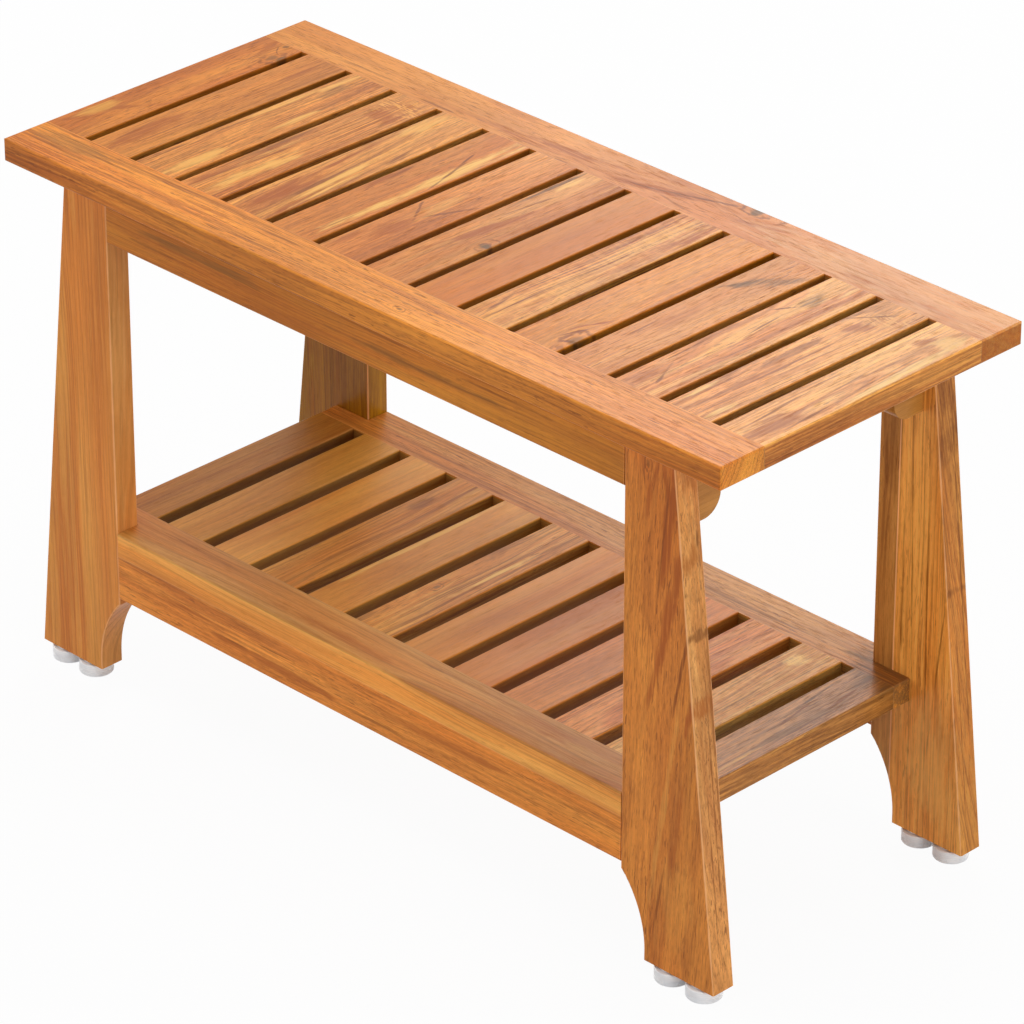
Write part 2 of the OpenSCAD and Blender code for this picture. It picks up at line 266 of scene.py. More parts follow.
@dataclass(frozen=True)
class Board:
    """One board: its node, how it was sawn and what its grain shows.

    Attributes:
        node: Name of the CAD node that it dresses.
        grain: How the board's axes lie.
        tone: The tone of its timber.
        seed: Moves the figure, so that no two boards match.
        heart: Slope of the heart along the board, and the heart's place across
            and through it.
        ring: Distance between growth rings.
        wander: How far the rings stray.
        contrast: Strength of the dark part of a ring.
        streaks: Strength of the dark streaks.
        straw: Strength of the bright streaks.
        lines: Strength of the fine lines.
        curl: Strength of the ripple across the grain.
        pores: Strength of its open pores beside the finish's.
        crisp: Strength of its fine fibre beside other boards.
        shade: How light the whole board is beside others of its tone.
        tint: Colour of the whole board beside others of its tone.
        lean: Turn of the grain in the board's face, in degrees.
        knots: Knots that show on its faces.
        marks: Patches of other colour.
        sides: Its sides whose colour is scaled against its top, and by how much: painted shade inside the
            drainage gaps, and painted light and shade on sides that the light falls on otherwise.
        strip: A band along it, if there is one.
        edges: Painted light and shade on a leg's narrow faces at its top: their colour beside its broad ones.
        foot: The same painted light and shade at its foot.
    """

    node: str
    grain: Grain
    tone: Tone
    seed: float
    heart: Point = (0.02, 0.05, -0.03)
    ring: float = 0.0055
    wander: float = 0.030
    contrast: float = 0.35
    streaks: float = 0.35
    straw: float = 0.3
    lines: float = 0.35
    curl: float = 0.0
    pores: float = 1.0
    crisp: float = 1.0
    shade: float = 1.0
    tint: Colour = PLAIN
    lean: float = 0.0
    knots: tuple[Knot, ...] = ()
    marks: tuple[Mark, ...] = ()
    sides: tuple[tuple[Side, Colour], ...] = ()
    strip: Strip | None = None
    edges: Colour | None = None
    foot: Colour = PLAIN


# ---------------------------------------------------------------- shader graph helper

FLOAT = "NodeSocketFloat"
VECTOR = "NodeSocketVector"
COLOUR = "NodeSocketColor"


class Graph:
    """Adds and links nodes in one node tree."""

    def __init__(self, tree: bpy.types.NodeTree) -> None:
        """Keeps the tree that nodes are added to."""
        self.tree = tree

    def add(self, kind: str, **settings: Any) -> bpy.types.Node:
        """Adds a node.

        Args:
            kind: The node's type, such as ShaderNodeMath.
            **settings: Attributes to set on it.

        Returns:
            The node.
        """
        node = self.tree.nodes.new(kind)
        for name, value in settings.items():
            setattr(node, name, value)
        return node

    def feed(self, socket: bpy.types.NodeSocket, value: Any) -> None:
        """Links another node's output to a socket, or sets a plain value on it."""
        if isinstance(value, bpy.types.NodeSocket):
            self.tree.links.new(value, socket)
        elif socket.type == "RGBA" and len(value) == 3:
            socket.default_value = (*value, 1.0)
        else:
            socket.default_value = value

    def math(self, operation: str, *values: Any, clamp: bool = False) -> bpy.types.NodeSocket:
        """A Math node's result."""
        node = self.add("ShaderNodeMath", operation=operation, use_clamp=clamp)
        for socket, value in zip(node.inputs, values):
            self.feed(socket, value)
        return node.outputs[0]

    def times(self, first: Any, second: Any) -> bpy.types.NodeSocket:
        """The product of two numbers."""
        return self.math("MULTIPLY", first, second)

    def linear(self, value: Any, slope: Any, start: Any, clamp: bool = False) -> bpy.types.NodeSocket:
        """A number times a slope, plus a start."""
        return self.math("MULTIPLY_ADD", value, slope, start, clamp=clamp)

    def vector(self, operation: str, *values: Any) -> bpy.types.NodeSocket:
        """A Vector Math node's vector result."""
        node = self.add("ShaderNodeVectorMath", operation=operation)
        for socket, value in zip(node.inputs, values):
            self.feed(socket, value)
        return node.outputs["Vector"]

    def length(self, value: Any) -> bpy.types.NodeSocket:
        """The length of a vector."""
        node = self.add("ShaderNodeVectorMath", operation="LENGTH")
        self.feed(node.inputs[0], value)
        return node.outputs["Value"]

    def split(self, value: Any) -> Sequence[bpy.types.NodeSocket]:
        """The three components of a vector."""
        node = self.add("ShaderNodeSeparateXYZ")
        self.feed(node.inputs[0], value)
        return node.outputs

    def join(self, x: Any, y: Any, z: Any) -> bpy.types.NodeSocket:
        """A vector made of three components."""
        node = self.add("ShaderNodeCombineXYZ")
        for socket, value in zip(node.inputs, (x, y, z)):
            self.feed(socket, value)
        return node.outputs[0]

    def noise(
        self, place: Any, detail: float, roughness: float = 0.5, distortion: float = 0.0
    ) -> Sequence[bpy.types.NodeSocket]:
        """Fractal noise at unit scale.

        Args:
            place: Where it is read, already scaled.
            detail: Number of octaves.
            roughness: Weight of the finer octaves.
            distortion: How much the noise is bent.

        Returns:
            Its value and its colour sockets.
        """
        node = self.add("ShaderNodeTexNoise")
        self.feed(node.inputs["Vector"], place)
        node.inputs["Scale"].default_value = 1.0
        node.inputs["Detail"].default_value = detail
        node.inputs["Roughness"].default_value = roughness
        node.inputs["Distortion"].default_value = distortion
        return node.outputs

    def remap(
        self, value: Any, low: Any, high: Any, out_low: float = 0.0, out_high: float = 1.0
    ) -> bpy.types.NodeSocket:
        """A smooth step of a value between two limits, clamped."""
        node = self.add("ShaderNodeMapRange", interpolation_type="SMOOTHSTEP")
        for name, item in (
            ("Value", value), ("From Min", low), ("From Max", high),
            ("To Min", out_low), ("To Max", out_high),
        ):
            self.feed(node.inputs[name], item)
        return node.outputs["Result"]

    def mix(self, share: Any, first: Any, second: Any, blend: str = "MIX") -> bpy.types.NodeSocket:
        """A mix of two colours, read from the colour sockets A and B of a Mix node."""
        node = self.add("ShaderNodeMix", data_type="RGBA", blend_type=blend)
        self.feed(node.inputs["Factor"], share)
        self.feed(node.inputs[6], first)
        self.feed(node.inputs[7], second)
        return node.outputs[2]

    def tinted(self, share: Any, colour: Any, tint: Any) -> bpy.types.NodeSocket:
        """A colour that is multiplied by a tint where a mask is on."""
        product = self.mix(1.0, colour, tint, "MULTIPLY")
        return self.mix(share, colour, product)

    def relief(self, shader: bpy.types.Node, height: Any, strength: float, distance: float) -> None:
        """Gives a shader's normal the relief of a height.

        Args:
            shader: The shader.
            height: The height, from 0 to 1.
            strength: Strength of the relief.
            distance: Height that 1 stands for.
        """
        bump = self.add("ShaderNodeBump")
        bump.inputs["Strength"].default_value = strength
        bump.inputs["Distance"].default_value = distance
        self.feed(bump.inputs["Height"], height)
        self.feed(shader.inputs["Normal"], bump.outputs[0])

    def seen(self) -> bpy.types.NodeSocket:
        """1 for what the camera sees, directly, in a reflection or through something."""
        path = self.add("ShaderNodeLightPath")
        seen = self.math("MAXIMUM", path.outputs["Is Camera Ray"], path.outputs["Is Glossy Ray"])
        return self.math("MAXIMUM", seen, path.outputs["Is Transmission Ray"])


def new_group(
    name: str, inputs: dict[str, str], outputs: dict[str, str]
) -> tuple[bpy.types.NodeTree, Graph, Sequence[Any], Sequence[Any]]:
    """Makes an empty shader node group.

    Args:
        name: The group's name.
        inputs: Names of its inputs for each socket type.
        outputs: Names of its outputs for each socket type.

    Returns:
        The group, a graph on it, its input sockets and the sockets its result goes to.
    """
    tree = bpy.data.node_groups.new(name, "ShaderNodeTree")
    for way, sockets in (("INPUT", inputs), ("OUTPUT", outputs)):
        for kind, labels in sockets.items():
            for label in labels.split():
                tree.interface.new_socket(label, in_out=way, socket_type=kind)
    graph = Graph(tree)
    source = graph.add("NodeGroupInput")
    sink = graph.add("NodeGroupOutput")
    return tree, graph, source.outputs, sink.inputs


# ---------------------------------------------------------------- shared effects


class Effects:
    """The node groups that the finishes share, each built once."""

    def __init__(self) -> None:
        """Builds all the groups."""
        self.figure = self._figure()
        self.knot = self._knot()
        self.mark = self._mark()
        self.arris = self._arris()
        self.handling = self._handling()

    def _figure(self) -> bpy.types.NodeTree:
        """Growth rings, fibre, pores and mineral streaks of sawn teak."""
        tree, g, i, o = new_group(
            "teak_figure",
            {
                VECTOR: "Vector Heart",
                FLOAT: "Seed Ring Wander Contrast Streaks Straw Lines Curl Shade Crisp Pores",
                COLOUR: "Pale Body Dark Streak",
            },
            {COLOUR: "Color", FLOAT: "Roughness Height"},
        )
        place, seed = i["Vector"], i["Seed"]
        shift = g.vector("MULTIPLY", g.join(seed, seed, seed), (3.71, 0.917, 1.733))
        moved = g.vector("ADD", place, shift)

        def stretched(along: float, across: float) -> bpy.types.NodeSocket:
            """The moved place, scaled along and across the grain."""
            return g.vector("MULTIPLY", moved, (along, across, across))

        def strayed(scale_along: float, scale_across: float, reach: Any) -> bpy.types.NodeSocket:
            """A slow stray of the grain, across and through the board."""
            field_colour = g.noise(stretched(scale_along, scale_across), 2.0)["Color"]
            centred = g.vector("SUBTRACT", field_colour, (0.5, 0.5, 0.5))
            return g.vector("MULTIPLY", centred, g.join(0.0, reach, reach))

        # rings round a heart that strays and slopes
        bent = g.vector("ADD", place, strayed(2.6, 11.0, i["Wander"]))
        bent = g.vector("ADD", bent, strayed(8.0, 36.0, 0.0030))
        along, across, through = g.split(bent)
        slope, heart_y, heart_z = g.split(i["Heart"])
        rise = g.times(slope, along)
        off_z = g.math("ADD", g.math("ADD", through, heart_z), rise)
        off = g.join(0.0, g.math("ADD", across, heart_y), off_z)
        count = g.math("DIVIDE", g.length(off), i["Ring"])
        uneven = g.noise(g.join(g.times(count, 0.37), seed, 0.0), 2.0)[0]
        count = g.math("ADD", count, g.times(uneven, 1.6))
        phase = g.math("FRACT", count)
        which = g.add("ShaderNodeTexWhiteNoise", noise_dimensions="1D")
        g.feed(which.inputs["W"], g.math("ADD", g.math("FLOOR", count), seed))
        late = g.times(g.remap(phase, 0.25, 0.92), g.remap(phase, 1.0, 0.92))
        late = g.times(late, g.linear(which.outputs["Value"], 0.85, 0.15))

        def along_rings(
            scale_along: float, scale_rings: float, offset: float, detail: float, roughness: float
        ) -> bpy.types.NodeSocket:
            """Noise that is drawn out along the grain and follows the rings."""
            spot = g.join(
                g.times(along, scale_along),
                g.times(count, scale_rings),
                g.math("ADD", seed, offset),
            )
            return g.noise(spot, detail, roughness)[0]

        zone = along_rings(2.0, 0.17, 0.0, 3.0, 0.5)
        warm = along_rings(2.6, 0.26, 7.3, 3.5, 0.55)
        flame = along_rings(4.6, 0.85, 13.1, 5.0, 0.60)
        bright = along_rings(3.6, 0.60, 21.7, 4.5, 0.60)
        line = along_rings(7.0, 4.2, 31.9, 3.0, 0.55)
        gate = g.remap(along_rings(2.0, 0.20, 41.3, 2.0, 0.5), 0.42, 0.62)

        # ripple across the grain, fibre, and pores down to single dashes
        ripple = g.noise(g.vector("MULTIPLY", moved, (190.0, 34.0, 34.0)), 2.0, 0.5, 0.3)[0]
        blotch = g.noise(stretched(5.0, 24.0), 3.0)[0]
        fibre = g.noise(stretched(11.0, 520.0), 4.0, 0.58)[0]
        crinkle = g.noise(stretched(105.0, 430.0), 3.0, 0.6, 0.8)[0]
        pore = g.remap(g.noise(stretched(70.0, 1150.0), 2.0)[0], 0.56, 0.66)
        crowd = g.remap(g.noise(stretched(9.0, 34.0), 2.0)[0], 0.40, 0.62, 0.30, 1.0)
        fleck = g.times(g.remap(g.noise(stretched(70.0, 640.0), 2.0)[0], 0.615, 0.665), crowd)

        colour = g.mix(g.remap(zone, 0.36, 0.64, 0.0, 0.55), i["Body"], i["Pale"])
        share = g.linear(i["Contrast"], 1.3, 0.12, clamp=True)
        colour = g.mix(g.times(g.remap(warm, 0.48, 0.66), share), colour, i["Dark"])
        bright_mask = g.times(g.remap(bright, 0.49, 0.61), i["Straw"])
        colour = g.mix(bright_mask, colour, i["Pale"])
        colour = g.mix(g.times(late, i["Contrast"]), colour, i["Dark"])
        flame_mask = g.times(g.remap(flame, 0.50, 0.63), g.linear(gate, 0.8, 0.2))
        colour = g.mix(g.times(flame_mask, i["Streaks"]), colour, i["Streak"])
        colour = g.mix(g.times(g.remap(line, 0.50, 0.66), i["Lines"]), colour, i["Streak"])
        colour = g.mix(g.times(g.remap(line, 0.48, 0.34), i["Lines"]), colour, i["Pale"])
        wave = g.times(g.remap(ripple, 0.48, 0.60), i["Curl"])
        colour = g.mix(wave, colour, i["Pale"])
        wave = g.times(g.remap(ripple, 0.46, 0.36), i["Curl"])
        colour = g.mix(wave, colour, i["Dark"])
        dots = g.math("MAXIMUM", g.times(pore, 0.6), fleck)
        colour = g.mix(g.times(dots, i["Pores"]), colour, i["Streak"])
        fine = g.linear(fibre, 0.50, g.linear(crinkle, 0.34, -0.42))
        shade = g.math("MAXIMUM", g.linear(fine, i["Crisp"], 1.0), 0.3)
        shade = g.times(shade, g.linear(blotch, 0.60, 0.70))
        tinted = g.join(shade, g.math("POWER", shade, 1.15), g.math("POWER", shade, 1.4))
        tinted = g.vector("MULTIPLY", tinted, g.join(i["Shade"], i["Shade"], i["Shade"]))
        colour = g.mix(1.0, colour, tinted, "MULTIPLY")

        rough = g.linear(fibre, 0.16, 0.34)
        rough = g.linear(pore, 0.14, rough, clamp=True)
        height = g.linear(pore, -0.6, g.times(fibre, 0.45))
        height = g.linear(late, -0.12, height)
        height = g.linear(crinkle, 0.3, height)
        g.feed(o["Color"], colour)
        g.feed(o["Roughness"], rough)
        g.feed(o["Height"], height)
        return tree

    def _knot(self) -> bpy.types.NodeTree:
        """Bends the grain round a knot and masks its heart."""
        tree, g, i, o = new_group(
            "knot",
            {VECTOR: "Vector", FLOAT: "Along Across Radius Reach"},
            {VECTOR: "Vector", FLOAT: "Mask Swirl"},
        )
        along, across, through = g.split(i["Vector"])
        du = g.math("SUBTRACT", along, i["Along"])
        dv = g.math("SUBTRACT", across, i["Across"])
        wide = g.times(i["Radius"], i["Reach"])
        flat = g.join(g.math("DIVIDE", du, g.times(wide, 2.2)), g.math("DIVIDE", dv, wide), 0.0)
        fall = g.remap(g.length(flat), 1.0, 0.0)
        pushed = g.times(dv, g.linear(fall, -0.85, 1.0))
        bent = g.join(along, g.math("ADD", pushed, i["Across"]), through)
        wobble = g.noise(g.vector("MULTIPLY", i["Vector"], (140.0, 240.0, 240.0)), 3.0)[0]
        core_u = g.math("DIVIDE", du, g.times(i["Radius"], 1.5))
        core = g.join(core_u, g.math("DIVIDE", dv, i["Radius"]), 0.0)
        reach = g.linear(wobble, 1.3, g.math("SUBTRACT", g.length(core), 0.65))
        g.feed(o["Vector"], bent)
        g.feed(o["Mask"], g.remap(reach, 1.15, 0.45))
        turns = g.linear(wobble, 5.0, g.times(g.length(core), 3.1))
        crest = g.remap(g.math("SINE", turns), 0.35, 1.0)
        patchy = g.remap(g.noise(g.vector("MULTIPLY", i["Vector"], (55.0, 90.0, 90.0)), 2.0)[0], 0.36, 0.58)
        g.feed(o["Swirl"], g.times(g.times(crest, patchy), g.remap(fall, 0.05, 0.6)))
        return tree

    def _mark(self) -> bpy.types.NodeTree:
        """Masks a ragged patch that is drawn out along the grain."""
        tree, g, i, o = new_group(
            "mark", {VECTOR: "Vector Centre Size", FLOAT: "Lean Seed"}, {FLOAT: "Mask Ripple"}
        )
        moved = g.vector("ADD", i["Vector"], g.join(i["Seed"], 0.0, 0.0))
        edge = g.noise(g.vector("MULTIPLY", moved, (26.0, 150.0, 150.0)), 4.0, 0.6)[0]
        grain = g.noise(g.vector("MULTIPLY", moved, (18.0, 520.0, 520.0)), 3.0, 0.55)[0]
        along, across, through = g.split(g.vector("SUBTRACT", i["Vector"], i["Centre"]))
        across = g.math("SUBTRACT", across, g.times(along, i["Lean"]))
        reach = g.length(g.vector("DIVIDE", g.join(along, across, through), i["Size"]))
        reach = g.math("ADD", reach, g.linear(edge, 2.4, -1.2))
        body = g.remap(reach, 1.10, 0.42)
        g.feed(o["Mask"], g.times(body, g.remap(grain, 0.30, 0.58, 0.35, 1.0)))
        waves = g.noise(g.vector("MULTIPLY", moved, (330.0, 70.0, 70.0)), 3.0, 0.5, 1.6)[0]
        g.feed(o["Ripple"], g.times(body, g.remap(waves, 0.46, 0.58)))
        return tree

    def _arris(self) -> bpy.types.NodeTree:
        """Masks the eased edges of a board, where a highlight is painted, from its depths below three pairs of
        faces.
        """
        tree, g, i, o = new_group(
            "arris", {VECTOR: "Vector Depth", FLOAT: "Width"}, {FLOAT: "Mask"}
        )
        a, b, c = g.split(i["Depth"])
        middle = g.math("MAXIMUM", g.math("MINIMUM", a, b), g.math("MINIMUM", g.math("MAXIMUM", a, b), c))
        uneven = g.noise(g.vector("MULTIPLY", i["Vector"], (34.0, 34.0, 34.0)), 3.0)[0]
        width = g.times(i["Width"], g.linear(uneven, 1.4, 0.3))
        g.feed(o["Mask"], g.remap(middle, width, 0.0))
        return tree

    def _handling(self) -> bpy.types.NodeTree:
        """Faint smears, dust and fine scratches of moulded plastic and bare metal."""
        tree, g, i, o = new_group(
            "handling", {VECTOR: "Vector", FLOAT: "Seed Size"}, {FLOAT: "Smear Dust Height"}
        )
        moved = g.vector("ADD", i["Vector"], g.join(i["Seed"], 0.0, 0.0))
        size = i["Size"]
        place = g.vector("MULTIPLY", moved, g.join(size, size, size))
        smear = g.noise(g.vector("MULTIPLY", place, (60.0, 60.0, 90.0)), 3.0, 0.6, 0.4)[0]
        dust = g.remap(g.noise(g.vector("MULTIPLY", place, (900.0, 900.0, 900.0)), 2.0)[0], 0.60, 0.75)
        scratch = g.noise(g.vector("MULTIPLY", place, (160.0, 160.0, 2600.0)), 2.0)[0]
        g.feed(o["Smear"], smear)
        g.feed(o["Dust"], dust)
        g.feed(o["Height"], g.linear(dust, 0.5, g.times(scratch, 0.25)))
        return tree


# ---------------------------------------------------------------- finishes

Depths = Callable[[Graph, Any], Any]
"""Builds the depths below a board's faces from Object coordinates."""


def clean_tree(name: str) -> tuple[bpy.types.Material, Graph, bpy.types.Node, bpy.types.NodeSocket]:
    """A new material with a Principled shader.

    Args:
        name: The material's name.

    Returns:
        The material, a graph on it, the shader and the Object coordinates.
    """
    material = bpy.data.materials.new(name)
    material.use_nodes = True
    material.node_tree.nodes.clear()
    graph = Graph(material.node_tree)
    shader = graph.add("ShaderNodeBsdfPrincipled")
    output = graph.add("ShaderNodeOutputMaterial")
    graph.feed(output.inputs["Surface"], shader.outputs[0])
    place = graph.add("ShaderNodeTexCoord").outputs["Object"]
    return material, graph, shader, place


def place_group(graph: Graph, tree: bpy.types.NodeTree, **values: Any) -> bpy.types.Node:
    """Adds a node group to a material and feeds its inputs by name."""
    node = graph.add("ShaderNodeGroup", node_tree=tree)
    for name, value in values.items():
        graph.feed(node.inputs[name], value)
    return node


@dataclass(frozen=True)
class TeakFinish:
    """Oiled teak under a clear coat.

    Attributes:
        coat: Weight of the clear coat.
        coat_rough: Roughness of the clear coat.
        specular: Specular level of the oiled wood under it.
        pores: Strength of the open pores.
        arris: Strength of the painted highlight along the eased edges.
        arris_tint: Colour of that painted highlight, also used for the pale line at a band's edge.
        arris_width: Width of that painted highlight.
        bump: Strength of the grain's relief.
        marks: Strength of the boards' marks.
        fade: How far from a leg's middle the painted light and shade on its narrow faces stops changing.
        tint: Colour of all its boards beside their own tones.
    """

    coat: float = 0.10
    coat_rough: float = 0.20
    specular: float = 0.15
    pores: float = 0.62
    arris: float = 0.12
    arris_tint: Colour = srgb(250, 186, 128)
    arris_width: float = 0.0014
    bump: float = 0.35
    marks: float = 1.15
    fade: float = 0.16
    tint: Colour = PLAIN

    @staticmethod
    def skin(g: Graph, depth: Any) -> Any:
        """Masks the thin skin of one face, from the depth below it."""
        return g.remap(depth, 0.6 * MM, 0.2 * MM)

    def make(self, effects: Effects, board: Board, depth: Depths) -> bpy.types.Material:
        """Makes the material of one board.

        Args:
            effects: The shared node groups.
            board: The board to dress.
            depth: Builds the depths below the board's faces from Object coordinates.

        Returns:
            The material.
        """
        material, g, shader, place = clean_tree(f"teak_{board.node}")
        palette = PALETTES[board.tone]
        low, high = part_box(board.node)
        middle = (Vector(low) + Vector(high)) / 2
        turn = Matrix.Rotation(math.radians(board.lean), 3, "Z") @ board.grain.matrix()
        mapping = g.add("ShaderNodeMapping", vector_type="POINT")
        g.feed(mapping.inputs["Vector"], place)
        mapping.inputs["Rotation"].default_value = turn.to_euler("XYZ")
        mapping.inputs["Location"].default_value = -(turn @ middle)
        here: Any = mapping.outputs[0]
        hearts: list[tuple[Any, Any, float]] = []
        for knot in board.knots:
            node = place_group(
                g, effects.knot, Vector=here, Along=MM * knot.along, Across=MM * knot.across,
                Radius=MM * knot.radius, Reach=knot.reach,
            )
            here = node.outputs["Vector"]
            hearts.append((node.outputs["Mask"], node.outputs["Swirl"], knot.dark))
        grown = here
        banded: Any = 0.0
        # a band along the low side, with its own colour, a moved figure and a pale line at its edge
        if board.strip:
            banded = g.remap(g.split(here)[1], board.strip.across + 0.3 * MM, board.strip.across - 0.3 * MM)
            moved = g.times(banded, board.strip.shift)
            grown = g.vector("ADD", here, g.join(moved, 0.0, 0.0))
        figure = place_group(
            g, effects.figure, Vector=grown, Seed=board.seed, Heart=board.heart, Ring=board.ring,
            Wander=board.wander, Contrast=board.contrast, Streaks=board.streaks, Straw=board.straw,
            Lines=board.lines, Curl=board.curl, Shade=board.shade, Crisp=board.crisp,
            Pores=self.pores * board.pores, Pale=palette.pale, Body=palette.body,
            Dark=palette.dark, Streak=palette.streak,
        )
        colour = figure.outputs["Color"]
        for number, mark in enumerate(board.marks):
            node = place_group(
                g, effects.mark, Vector=here,
                Centre=(MM * mark.along, MM * mark.across, MM * mark.through),
                Size=(MM * mark.length, MM * mark.width, MM * mark.depth),
                Lean=mark.lean, Seed=board.seed + number,
            )
            strength = min(1.0, self.marks * mark.strength)
            colour = g.mix(g.times(node.outputs["Mask"], strength), colour, mark.stain.value)
            if mark.ripple:
                colour = g.mix(g.times(node.outputs["Ripple"], mark.ripple), colour, palette.pale)
        for mask, swirl, strength in hearts:
            colour = g.mix(g.times(swirl, strength), colour, palette.streak)
            colour = g.mix(g.times(mask, strength), colour, Stain.SLATE.value)
        # darker grain than the tone's usual brightness takes less coat, so it shines less
        usual = sum(part * share for part, share in zip(palette.body, LUMA))
        grey = g.add("ShaderNodeRGBToBW")
        g.feed(grey.inputs[0], colour)
        gloss = g.remap(grey.outputs[0], 0.30 * usual, 1.40 * usual, 0.45, 1.24)
        tint = tuple(whole * own for whole, own in zip(self.tint, board.tint))
        colour = g.mix(1.0, colour, tint, "MULTIPLY")
        if board.strip:
            colour = g.tinted(banded, colour, board.strip.tint)
            off = g.math("SUBTRACT", g.split(here)[1], board.strip.across + 0.6 * MM)
            band_line = g.remap(g.math("ABSOLUTE", off), 0.9 * MM, 0.3 * MM, 0.0, board.strip.line)
            colour = g.mix(band_line, colour, self.arris_tint)
        # painted light and shade: the skin of each listed side, below the top, takes that side's colour factor
        for side, share in board.sides:
            axis, way = side.value
            face = (high if way > 0 else low)[axis]
            within = g.linear(g.split(place)[axis], -way, way * face)
            below = g.remap(g.split(place)[2], high[2] - 0.8 * MM, high[2] - 2 * MM)
            inside = g.times(self.skin(g, within), below)
            colour = g.tinted(inside, colour, share)
        depths = depth(g, place)
        # painted light and shade on a leg's narrow faces, blended from its foot to its top
        if board.edges:
            narrow = self.skin(g, g.split(depths)[0])
            share = g.mix(g.remap(g.split(here)[0], -self.fade, self.fade), board.foot, board.edges)
            colour = g.tinted(narrow, colour, share)
        # painted highlight along the eased edges
        edge = place_group(g, effects.arris, Vector=place, Depth=depths, Width=self.arris_width)
        colour = g.mix(g.times(edge.outputs["Mask"], self.arris), colour, self.arris_tint)
        g.feed(shader.inputs["Base Color"], colour)
        g.feed(shader.inputs["Roughness"], figure.outputs["Roughness"])
        shader.inputs["Specular IOR Level"].default_value = self.specular
        g.feed(shader.inputs["Coat Weight"], g.times(gloss, self.coat))
        shader.inputs["Coat Roughness"].default_value = self.coat_rough
        g.relief(shader, figure.outputs["Height"], self.bump, 0.3 * MM)
        return material


@dataclass(frozen=True)
class HardFinish:
    """Moulded plastic, bare metal or plain dowel wood.

    Attributes:
        name: The material's name.
        light: Colour where it is clean.
        deep: Colour in the smears.
        metallic: 1 for metal, 0 for plastic and wood.
        rough: Roughness where it is clean.
        spread: How much rougher the smears are.
        bump: Strength of its relief.
        size: Scale of the marks, 1 for about a centimetre.
        rings: Strength of the fine rings that the mould leaves round it.
        edge: Strength of the painted shade where it turns away from the camera, which makes it look darker
            there.
        ring_pitch: Distance between the rings.
        dim: How light that painted shade is beside the smears' colour.
    """

    name: str
    light: Colour
    deep: Colour
    metallic: float = 0.0
    rough: float = 0.3
    spread: float = 0.2
    bump: float = 0.15
    size: float = 1.0
    rings: float = 0.0
    edge: float = 0.0
    ring_pitch: float = 0.0017
    dim: float = 0.55

    def make(self, effects: Effects, seed: float = 0.0) -> bpy.types.Material:
        """Makes the material.

        Args:
            effects: The shared node groups.
            seed: Moves the marks.

        Returns:
            The material.
        """
        material, g, shader, place = clean_tree(self.name)
        marks = place_group(g, effects.handling, Vector=place, Seed=seed, Size=self.size)
        colour = g.mix(g.remap(marks.outputs["Smear"], 0.40, 0.68), self.light, self.deep)
        colour = g.mix(g.times(marks.outputs["Dust"], 0.25), colour, self.deep)
        if self.rings:
            turns = g.times(g.split(place)[2], math.tau / self.ring_pitch)
            band = g.remap(g.math("SINE", turns), -0.2, 0.9, 0.0, self.rings)
            colour = g.mix(band, colour, self.deep)
        # painted shade where the surface turns away from the camera
        if self.edge:
            away = g.add("ShaderNodeLayerWeight")
            away.inputs["Blend"].default_value = 0.35
            dim = tuple(self.dim * part for part in self.deep)
            colour = g.mix(g.times(away.outputs["Facing"], self.edge), colour, dim)
        g.feed(shader.inputs["Base Color"], colour)
        shader.inputs["Metallic"].default_value = self.metallic
        rough = g.linear(marks.outputs["Smear"], self.spread, self.rough - self.spread / 2)
        g.feed(shader.inputs["Roughness"], rough)
        g.relief(shader, marks.outputs["Height"], self.bump, 0.2 * MM)
        return material


NYLON = HardFinish(
    "foot_nylon", srgb(255, 255, 255), srgb(240, 243, 247), rough=0.30, spread=0.16, rings=0.5, edge=0.7
)
BRASS = HardFinish("insert_brass", srgb(214, 180, 110), srgb(176, 138, 76), 1.0, 0.28, 0.2)
STEEL = HardFinish("screw_steel", srgb(200, 200, 204), srgb(150, 150, 154), 1.0, 0.26, 0.18)
BEECH = HardFinish("dowel_beech", srgb(222, 184, 132), srgb(192, 148, 98), 0.0, 0.55, 0.15, 0.4, 2.0)


# ---------------------------------------------------------------- bench work


